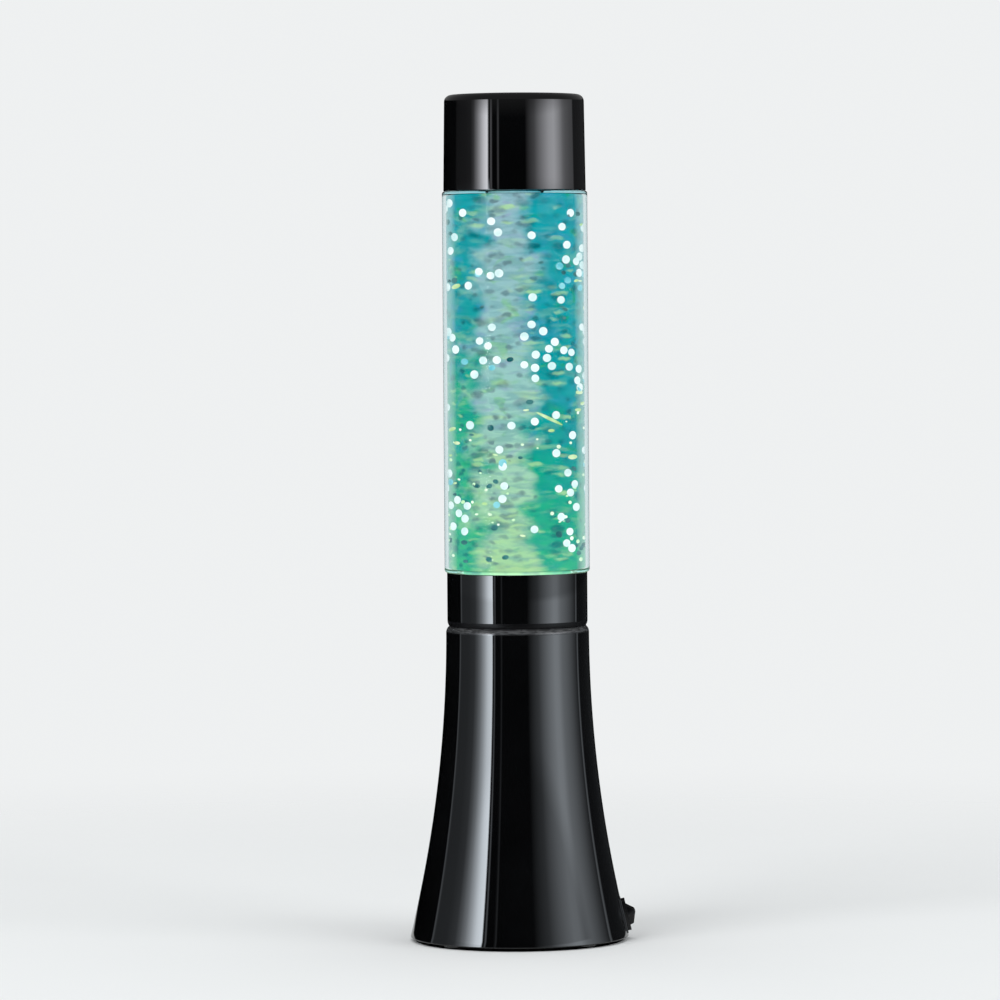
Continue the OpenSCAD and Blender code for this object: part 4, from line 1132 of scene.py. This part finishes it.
@dataclass
class Bottle:
    """Clear bottle with its spigot and neck, and the liquid in it, in millimetres."""

    r: float = 31.75
    in_r: float = 30.2
    low: float = 161.5
    high: float = 328.0
    end_wall: float = 1.3
    outer_edge: float = 1.2
    inner_edge: float = 1.0
    bend_edge: float = 0.5
    step_edge: float = 0.3
    spigot_r: float = 27.55
    spigot_in_r: float = 24.35
    spigot_z: float = 128.0
    spigot_edge: float = 1.0
    floor_z: float = 131.0
    floor_edge: float = 0.8
    neck_r: float = 15.0
    neck_in_r: float = 11.8
    neck_z: float = 345.0
    neck_edge: float = 0.4
    fill_z: float = 341.0
    pocket_r: float = 15.6
    pocket_z: float = 143.6
    skin_gap: float = 0.15
    end_gap: float = 0.03
    lit_gap: float = 0.4
    lit_r: float = 25.2
    lit_edge: float = 0.4
    lit_spigot_r: float = 19.5
    lit_floor_gap: float = 3.0
    clear_steps: int = 320
    crease: float = 60.0

    def build(self) -> None:
        """Builds the bottle and the liquid."""
        self.add("bottle_clear", self.glass(), Finish.BOTTLE, Slot.BOTTLE, "bottle", self.clear_steps)
        self.add("liquid_skin", self.skin(), Finish.LIQUID_SKIN, Slot.LIQUID, "liquid", self.clear_steps)
        self.add("liquid_lit", self.lit(), Finish.LIQUID, Slot.LIQUID, "liquid")

    def add(self, name: str, section: list[Corner], finish: Finish, slot: Slot, node: str,
            steps: int = ROUND_STEPS) -> None:
        """Spins one piece of the bottle.

        Args:
            name: name of the piece.
            section: its half section.
            finish: its finish.
            slot: the record's material slot, not used.
            node: the node that it stands for.
            steps: steps round the axis.
        """
        mesh = bmesh.new()
        spin_section(mesh, section, steps)
        make_piece(mesh, name, finish, Body.BOTTLE, (node,), self.crease)

    @property
    def inner_low(self) -> float:
        """Height of the inside of the bottle's lower end."""
        return self.low + self.end_wall

    @property
    def inner_high(self) -> float:
        """Height of the inside of the bottle's upper end."""
        return self.high - self.end_wall

    def glass(self) -> list[Corner]:
        """Gives the half section of the clear wall.

        Returns:
            The corners in order.
        """
        return [
            Corner(0.0, self.spigot_z), Corner(self.spigot_r, self.spigot_z, self.spigot_edge),
            Corner(self.spigot_r, self.low, self.step_edge), Corner(self.r, self.low, self.outer_edge),
            Corner(self.r, self.high, self.outer_edge), Corner(self.neck_r, self.high, self.step_edge),
            Corner(self.neck_r, self.neck_z, self.neck_edge),
            Corner(self.neck_in_r, self.neck_z, self.neck_edge),
            Corner(self.neck_in_r, self.inner_high, self.bend_edge),
            Corner(self.in_r, self.inner_high, self.inner_edge),
            Corner(self.in_r, self.inner_low, self.inner_edge),
            Corner(self.spigot_in_r, self.inner_low, self.bend_edge),
            Corner(self.spigot_in_r, self.floor_z, self.floor_edge), Corner(0.0, self.floor_z)]

    def skin(self) -> list[Corner]:
        """Gives the half section of the liquid, a little clear of the wall.

        Returns:
            The corners in order.
        """
        low, high = self.inner_low + self.end_gap, self.inner_high - self.end_gap
        spigot_r, side_r, neck_r = (r - self.skin_gap for r in (self.spigot_in_r, self.in_r, self.neck_in_r))
        floor_z = self.floor_z + self.skin_gap
        return [
            Corner(0.0, self.pocket_z), Corner(self.pocket_r, self.pocket_z), Corner(self.pocket_r, floor_z),
            Corner(spigot_r, floor_z, self.floor_edge), Corner(spigot_r, low, self.bend_edge),
            Corner(side_r, low, self.inner_edge), Corner(side_r, high, self.inner_edge),
            Corner(neck_r, high, self.bend_edge), Corner(neck_r, self.fill_z), Corner(0.0, self.fill_z)]

    def lit(self) -> list[Corner]:
        """Gives the half section of the lit core of the liquid.

        Returns:
            The corners in order.
        """
        low, high = self.inner_low + self.lit_gap, self.inner_high - self.lit_gap
        floor_z = self.pocket_z + self.lit_floor_gap
        return [
            Corner(0.0, floor_z), Corner(self.lit_spigot_r, floor_z, self.spigot_edge),
            Corner(self.lit_spigot_r, low, self.step_edge), Corner(self.lit_r, low, self.lit_edge),
            Corner(self.lit_r, high, self.lit_edge), Corner(0.0, high)]


@dataclass(frozen=True)
class FlakeBatch:
    """Flakes of one kind: sizes and depths in millimetres, and the part of the height that they drift in."""

    name: str
    finish: Finish
    seed: int
    count: int
    sizes: Range
    flat: Range
    depths: Range
    tilt: float
    up_to: float = 1.0


class FlakeKind(Enum):
    """Kinds of glitter flake."""

    WHITE = FlakeBatch("glitter_white", Finish.WHITE_FLAKE, seed=11, count=178, sizes=(3.4, 3.8),
                       flat=(0.95, 1.0), depths=(26.8, 28.2), tilt=14.0)
    CYAN = FlakeBatch("glitter_cyan", Finish.CYAN_FLAKE, seed=12, count=44, sizes=(2.6, 3.6),
                      flat=(0.8, 1.0), depths=(26.4, 27.6), tilt=20.0)
    SHADOW = FlakeBatch("glitter_shadow", Finish.SHADOW_FLAKE, seed=13, count=90, sizes=(2.0, 3.4),
                        flat=(0.45, 0.9), depths=(26.0, 27.2), tilt=24.0)
    GLINT = FlakeBatch("glitter_glint", Finish.GLINT_FLAKE, seed=14, count=44, sizes=(2.0, 5.0),
                       flat=(0.25, 0.5), depths=(26.3, 27.6), tilt=16.0)
    SPARK = FlakeBatch("glitter_spark", Finish.SPARK_FLAKE, seed=15, count=110, sizes=(0.8, 2.2),
                       flat=(0.5, 1.0), depths=(26.3, 28.2), tilt=20.0, up_to=0.42)


@dataclass
class Glitter:
    """Flakes adrift near the wall of the bottle, in millimetres and degrees."""

    low: float = 166.5
    high: float = 323.0
    thick: float = 0.12
    sides: int = 14
    cluster: float = 0.38
    spread: float = 6.5
    facing: float = 0.72
    sliver_turn: float = -59.0
    sliver_depth: float = 27.6
    sliver_z: float = 229.0
    sliver_l: float = 13.0
    sliver_flat: float = 0.11
    sliver_lean: float = -26.0

    def build(self) -> None:
        """Builds every kind of flake and one long sliver."""
        for kind in FlakeKind:
            self.scatter(kind)
        mesh = bmesh.new()
        self.add_flake(mesh, math.radians(self.sliver_turn), self.sliver_depth, self.sliver_z, self.sliver_l,
                       self.sliver_flat, (0.0, 0.0, self.sliver_lean))
        make_piece(mesh, "glitter_sliver", Finish.GLINT_FLAKE, Body.BOTTLE, ("glitter",))

    def add_flake(self, mesh: bmesh.types.BMesh, turn: float, depth: float, height: float, size: float,
                  flat: float, lean: tuple[float, ...]) -> None:
        """Adds one flake, which faces out and a little towards the front or the back.

        Args:
            mesh: the mesh to add to.
            turn: place round the axis, in radians.
            depth: distance from the axis.
            height: height of its middle.
            size: its width.
            flat: height as a share of the width.
            lean: tilt about the three axes, in degrees.
        """
        side = math.copysign(math.pi / 2, math.sin(turn))
        facing = (side - math.atan2(math.sin(turn), math.cos(turn))) * self.facing
        tilts = [math.radians(angle) for angle in lean]
        place = (Matrix.Rotation(turn, 4, "Z") @ Matrix.Translation((depth * MM, 0.0, height * MM))
                 @ Matrix.Rotation(facing + tilts[0], 4, "Z") @ Matrix.Rotation(tilts[1], 4, "Y")
                 @ Matrix.Rotation(tilts[2], 4, "X") @ Matrix.Rotation(math.pi / 2, 4, "Y")
                 @ Matrix.Diagonal((flat, 1.0, 1.0, 1.0)))
        bmesh.ops.create_cone(mesh, cap_ends=True, cap_tris=False, segments=self.sides, radius1=size / 2 * MM,
                              radius2=size / 2 * MM, depth=self.thick * MM, matrix=place)

    def scatter(self, kind: FlakeKind) -> None:
        """Builds the flakes of one kind, some of them in clusters, with no two in one place.

        Args:
            kind: the kind of flake.
        """
        batch = kind.value
        chance = random.Random(batch.seed)
        top = self.low + (self.high - self.low) * batch.up_to
        mesh = bmesh.new()
        places: list[Vector] = []
        turn, height = 0.0, self.low
        while len(places) < batch.count:
            if places and chance.random() < self.cluster:
                turn += chance.uniform(-self.spread, self.spread) / batch.depths[0]
                height += chance.uniform(-self.spread, self.spread)
            else:
                turn = chance.uniform(0.0, math.tau)
                height = chance.uniform(self.low, top)
            height = min(max(height, self.low), top)
            spot = Vector((batch.depths[0] * math.cos(turn), batch.depths[0] * math.sin(turn), height))
            if any((spot - other).length < batch.sizes[1] for other in places):
                continue
            places.append(spot)
            lean = tuple(chance.uniform(-batch.tilt, batch.tilt) for _ in range(3))
            self.add_flake(mesh, turn, chance.uniform(*batch.depths), height, chance.uniform(*batch.sizes),
                           chance.uniform(*batch.flat), lean)
        make_piece(mesh, batch.name, batch.finish, Body.BOTTLE, ("glitter",))


@dataclass
class Feet:
    """Rubber feet with rounded edges, in millimetres."""

    x: float = 29.55
    y: float = 26.68
    r: float = 3.5
    h: float = 3.0
    low_edge: float = 0.6
    high_edge: float = 0.1
    steps: int = 48

    def build(self) -> None:
        """Builds the four feet."""
        section = [Corner(0.0, 0.0), Corner(self.r, 0.0, self.low_edge),
                   Corner(self.r, self.h, self.high_edge), Corner(0.0, self.h)]
        mesh = bmesh.new()
        for side in (-1.0, 1.0):
            for end in (-1.0, 1.0):
                spin_section(mesh, section, self.steps, (side * self.x, end * self.y))
        make_piece(mesh, "feet", Finish.FOOT_RUBBER, Body.BASE, ("rubber_feet",))


NODE_FINISHES: dict[str, Finish] = {
    "bottom_cover": Finish.MATTE_BLACK, "cover_screws": Finish.STEEL, "battery_door": Finish.MATTE_BLACK,
    "battery_cells": Finish.CELL_JACKET, "battery_contacts": Finish.CONTACT,
    "battery_springs": Finish.CONTACT, "switch_terminals": Finish.BRASS, "wiring": Finish.WIRE_JACKET,
    "motor": Finish.MOTOR_STEEL, "motor_cup": Finish.MATTE_BLACK, "motor_screws": Finish.STEEL,
    "motor_shaft": Finish.STEEL, "magnet_carrier": Finish.WHITE_PLASTIC, "drive_magnets": Finish.MAGNET,
    "led_board": Finish.BOARD_WHITE, "leds": Finish.LED_YELLOW, "board_screws": Finish.STEEL,
    "lens": Finish.LENS, "stirrer_pin": Finish.STEEL, "pin_clip": Finish.WHITE_PLASTIC,
    "stirrer": Finish.WHITE_PLASTIC, "stirrer_magnets": Finish.MAGNET, "closure_seal": Finish.SEAL_RUBBER,
    "bottle_closure": Finish.MATTE_BLACK}


def dress_nodes() -> None:
    """Gives each node that stays its finish."""
    for name, finish in NODE_FINISHES.items():
        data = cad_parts[name].data
        data.materials.clear()
        data.materials.append(finish.material)
        log.info("%s: %s", name, finish.value.name)


@dataclass
class Floor:
    """Pale floor, in metres.

    It fades into the background, and it is clear from below. Under the lamp only the camera sees it, and
    there it is painted dark as a painted contact shadow. The gloss sees it close to the lamp, but not in
    front of it.
    """

    r: float = 6.0
    sides: int = 96
    tones: Pair = ((0.85, 0.865, 0.87), (0.87, 0.885, 0.89))
    mottle: float = 8.0
    gloss: float = 0.75
    under_r: float = 0.0455
    # Colour of the floor under the lamp: a painted shadow.
    painted_shadow_tone: Colour = (0.02, 0.02, 0.02)
    fade: Range = (0.2, 0.9)
    front_fade: Range = (-0.05, -0.16)
    gloss_fade: Range = (0.1, 0.28)

    def build(self) -> None:
        """Builds the floor."""
        mesh = bmesh.new()
        bmesh.ops.create_circle(mesh, cap_ends=True, segments=self.sides, radius=self.r)
        floor = add_object(mesh, "floor")
        floor.data.materials.append(self.material())

    def material(self) -> bpy.types.Material:
        """Makes the material.

        Returns:
            The material.
        """
        graph = Graph("pale_floor")
        length = graph.node("VectorMath", operation="LENGTH")
        graph.join(graph.coords(), length.inputs[0])
        reach = length.outputs["Value"]
        under = graph.math("LESS_THAN", reach, self.under_r)
        pale = graph.mix(graph.noise(self.mottle, detail=3.0), *self.tones)
        # Under the lamp the floor is painted dark: a painted contact shadow seen in the gap under the rim.
        graph.feed("Base Color", graph.mix(under, pale, self.painted_shadow_tone))
        graph.put(Roughness=self.gloss, Specular_IOR_Level=0.0)
        light = graph.node("LightPath")
        fade = graph.span(reach, self.fade, smooth=True)
        clear = graph.larger(fade, graph.node("NewGeometry").outputs["Backfacing"])
        unseen = graph.math("SUBTRACT", 1.0, light.outputs["Is Camera Ray"])
        clear = graph.larger(clear, graph.times(under, unseen))
        front = graph.span(graph.axes()[1], self.front_fade, smooth=True)
        away = graph.larger(front, graph.span(reach, self.gloss_fade, smooth=True))
        clear = graph.larger(clear, graph.times(away, light.outputs["Is Glossy Ray"]))
        graph.clear_where(clear, graph.shader.outputs["BSDF"])
        return graph.material


@dataclass
class Cards:
    """Soft light cards and black flags round and above the lamp, seen only in its gloss.

    Sizes and heights are in metres. A card's stops are the angle from the front in degrees, from left to
    right, and the brightness. The low cards show in the base and the collar, and the high ones in the cap.
    Below near_z the left is dimmer and the right is brighter, which only the base shows.
    """

    r: float = 0.6
    sides: int = 180
    high: float = 0.9
    drop: float = 0.6
    glow: float = 12.0
    join_z: Range = (0.27, 0.33)
    foot_z: Range = (-0.6, -0.3)
    foot_level: float = 0.05
    over_z: Range = (0.42, 0.47)
    over_level: float = 0.02
    near_z: Range = (0.138, 0.152)
    near_turn: Range = (-0.3, 0.3)
    near_gain: Range = (-0.15, 0.45)
    low_tint: Colour = (0.92, 1.0, 1.08)
    high_tint: Colour = (0.97, 0.98, 1.04)
    low_cards: tuple[Range, ...] = (
        # thin line at the far left
        (-105.0, 0.0), (-104.0, 0.08), (-101.0, 0.022), (-84.0, 0.03),
        # large soft card on the left, brightest at its inner edge
        (-72.0, 0.05), (-66.0, 0.13), (-60.0, 0.28), (-54.0, 0.58), (-47.0, 1.08), (-42.0, 1.25),
        (-40.5, 1.25),
        # black flag with two thin gaps
        (-39.5, 0.0), (-38.0, 0.0), (-37.0, 0.22), (-36.0, 0.0), (-27.0, 0.0), (-25.5, 0.03), (-24.0, 0.0),
        # soft card on the right
        (15.0, 0.0), (32.0, 0.045), (50.0, 0.17), (60.0, 0.23), (66.0, 0.22), (74.0, 0.14), (89.0, 0.072),
        # thin line at the far right, and the dark behind the lamp
        (98.0, 0.035), (107.0, 0.008), (108.5, 0.05), (110.0, 0.05), (112.0, 0.002), (150.0, 0.002),
        (165.0, 0.0))
    high_cards: tuple[Range, ...] = (
        # dim far left
        (-110.0, 0.0), (-106.0, 0.006), (-84.0, 0.012), (-74.0, 0.018),
        # large soft card on the left, brightest at its inner edge
        (-68.0, 0.06), (-62.0, 0.25), (-56.0, 0.55), (-50.0, 0.95), (-45.0, 1.2), (-43.0, 1.2),
        # black flag with two thin gaps
        (-42.0, 0.0), (-38.5, 0.0), (-37.5, 0.25), (-36.0, 0.0), (-27.5, 0.0), (-26.0, 0.12), (-24.5, 0.0),
        # soft card on the right
        (17.0, 0.0), (32.0, 0.1), (46.0, 0.34), (57.0, 0.53), (66.0, 0.57), (76.0, 0.36), (84.0, 0.18),
        # dim far right, and the dark behind the lamp
        (90.0, 0.12), (100.0, 0.075), (108.0, 0.055), (110.0, 0.008), (150.0, 0.004), (165.0, 0.0))

    def build(self) -> None:
        """Builds the drum that carries the cards."""
        mesh = bmesh.new()
        bmesh.ops.create_circle(mesh, segments=self.sides, radius=self.r,
                                matrix=Matrix.Translation((0.0, 0.0, -self.drop)))
        raised = bmesh.ops.extrude_edge_only(mesh, edges=mesh.edges[:])["geom"]
        bmesh.ops.translate(mesh, vec=(0.0, 0.0, self.drop + self.high),
                            verts=[g for g in raised if isinstance(g, bmesh.types.BMVert)])
        bmesh.ops.contextual_create(mesh, geom=[g for g in raised if isinstance(g, bmesh.types.BMEdge)])
        cards = add_object(mesh, "cards")
        cards.visible_camera = False
        cards.visible_diffuse = False
        cards.visible_shadow = False
        cards.data.materials.append(self.material())

    def material(self) -> bpy.types.Material:
        """Makes the glowing material, which is clear to rays that came through glass.

        Returns:
            The material.
        """
        graph = Graph("light_cards")
        across, deep, height = graph.axes()
        turn = graph.math("ARCTAN2", across, graph.times(deep, -1.0))
        share = graph.span(turn, (-math.pi, math.pi))
        low = graph.ramp(share, self.stops(self.low_cards, self.low_tint))
        high = graph.ramp(share, self.stops(self.high_cards, self.high_tint))
        level = graph.mix(graph.span(height, self.join_z), low, high)
        level = graph.mix(graph.span(height, self.foot_z), (self.foot_level,) * 3, level)
        level = graph.mix(graph.span(height, self.over_z), level, (self.over_level,) * 3)
        near = graph.times(graph.span(height, self.near_z, (1.0, 0.0)),
                           graph.span(turn, self.near_turn, self.near_gain))
        glow = graph.node("Emission")
        graph.join(level, glow.inputs["Color"])
        graph.join(graph.times(graph.math("ADD", near, 1.0), self.glow), glow.inputs["Strength"])
        through = graph.node("LightPath").outputs["Is Transmission Ray"]
        graph.clear_where(through, glow.outputs["Emission"])
        return graph.material

    @staticmethod
    def stops(levels: tuple[Range, ...], tint: Colour) -> Stops:
        """Turns the cards' brightness by angle into stops of a ramp, in the colour of the light."""
        return tuple(((angle + 180.0) / 360.0, tuple(level * part for part in tint))
                     for angle, level in levels)


@dataclass(frozen=True)
class SoftLamp:
    """Soft square lamp that faces the object, in metres and watts."""

    name: str
    place: Triple
    size: float
    power: float
    aim: Triple = (0.0, 0.0, 0.15)

    def build(self) -> None:
        """Builds the lamp."""
        data = bpy.data.lights.new(self.name, "AREA")
        data.size = self.size
        data.energy = self.power
        lamp = bpy.data.objects.new(self.name, data)
        lamp.location = self.place
        lamp.rotation_euler = (Vector(self.aim) - Vector(self.place)).to_track_quat("-Z", "Y").to_euler()
        lamp.visible_glossy = False
        bpy.context.scene.collection.objects.link(lamp)


@dataclass
class Studio:
    """Camera at the photograph's view, pale background, floor, cards and soft lamps, in metres."""

    camera_y: float = -2.36
    camera_z: float = 0.283
    aim_x: float = -0.0073
    aim_z: float = 0.193
    roll: float = -0.41
    lens: float = 194.2
    sensor: float = 36.0
    pale: Colour = (0.86, 0.875, 0.88)
    ambient: float = 0.5
    lamps: tuple[SoftLamp, ...] = (
        SoftLamp("key_lamp", (-1.3, -1.5, 1.7), size=1.3, power=21.0),
        SoftLamp("fill_lamp", (1.6, -1.1, 1.2), size=1.4, power=12.0),
        SoftLamp("top_lamp", (0.0, 0.3, 2.0), size=1.6, power=13.0))

    def build(self) -> None:
        """Builds the studio."""
        bpy.context.scene.view_settings.view_transform = "Standard"
        self.camera()
        self.world()
        Floor().build()
        Cards().build()
        for lamp in self.lamps:
            lamp.build()

    def camera(self) -> None:
        """Puts the camera at the photograph's view."""
        data = bpy.data.cameras.new("camera")
        data.lens = self.lens
        data.sensor_width = self.sensor
        data.sensor_fit = "HORIZONTAL"
        camera = bpy.data.objects.new("camera", data)
        camera.location = (self.aim_x, self.camera_y, self.camera_z)
        look = Vector((self.aim_x, 0.0, self.aim_z)) - camera.location
        level = look.to_track_quat("-Z", "Y").to_matrix()
        camera.rotation_euler = (level @ Matrix.Rotation(math.radians(self.roll), 3, "Z")).to_euler()
        bpy.context.scene.collection.objects.link(camera)
        bpy.context.scene.camera = camera

    def world(self) -> None:
        """Gives an even pale background and soft light from all sides."""
        world = bpy.data.worlds.new("studio")
        bpy.context.scene.world = world
        world.use_nodes = True
        tree = world.node_tree
        tree.nodes.clear()
        out = tree.nodes.new("ShaderNodeOutputWorld")
        shade = tree.nodes.new("ShaderNodeBackground")
        path = tree.nodes.new("ShaderNodeLightPath")
        seen = path.outputs["Is Camera Ray"]
        for kind in ("Is Glossy Ray", "Is Transmission Ray"):
            either = tree.nodes.new("ShaderNodeMath")
            either.operation = "MAXIMUM"
            tree.links.new(seen, either.inputs[0])
            tree.links.new(path.outputs[kind], either.inputs[1])
            seen = either.outputs["Value"]
        level = tree.nodes.new("ShaderNodeMapRange")
        level.inputs["To Min"].default_value = self.ambient
        tree.links.new(seen, level.inputs["Value"])
        shade.inputs["Color"].default_value = (*self.pale, 1.0)
        tree.links.new(level.outputs["Result"], shade.inputs["Strength"])
        tree.links.new(shade.outputs["Background"], out.inputs["Surface"])


def main() -> None:
    """Builds the lamp and the studio."""
    logging.basicConfig(level=logging.INFO, format="%(name)s: %(message)s")
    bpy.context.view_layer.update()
    Studio().build()
    base = BaseShell()
    switch = Switch()
    base.build(switch)
    switch.build(base)
    Collar().build()
    Cap().build()
    Bottle().build()
    Glitter().build()
    Feet().build()
    dress_nodes()


if __name__ == "__main__":
    main()
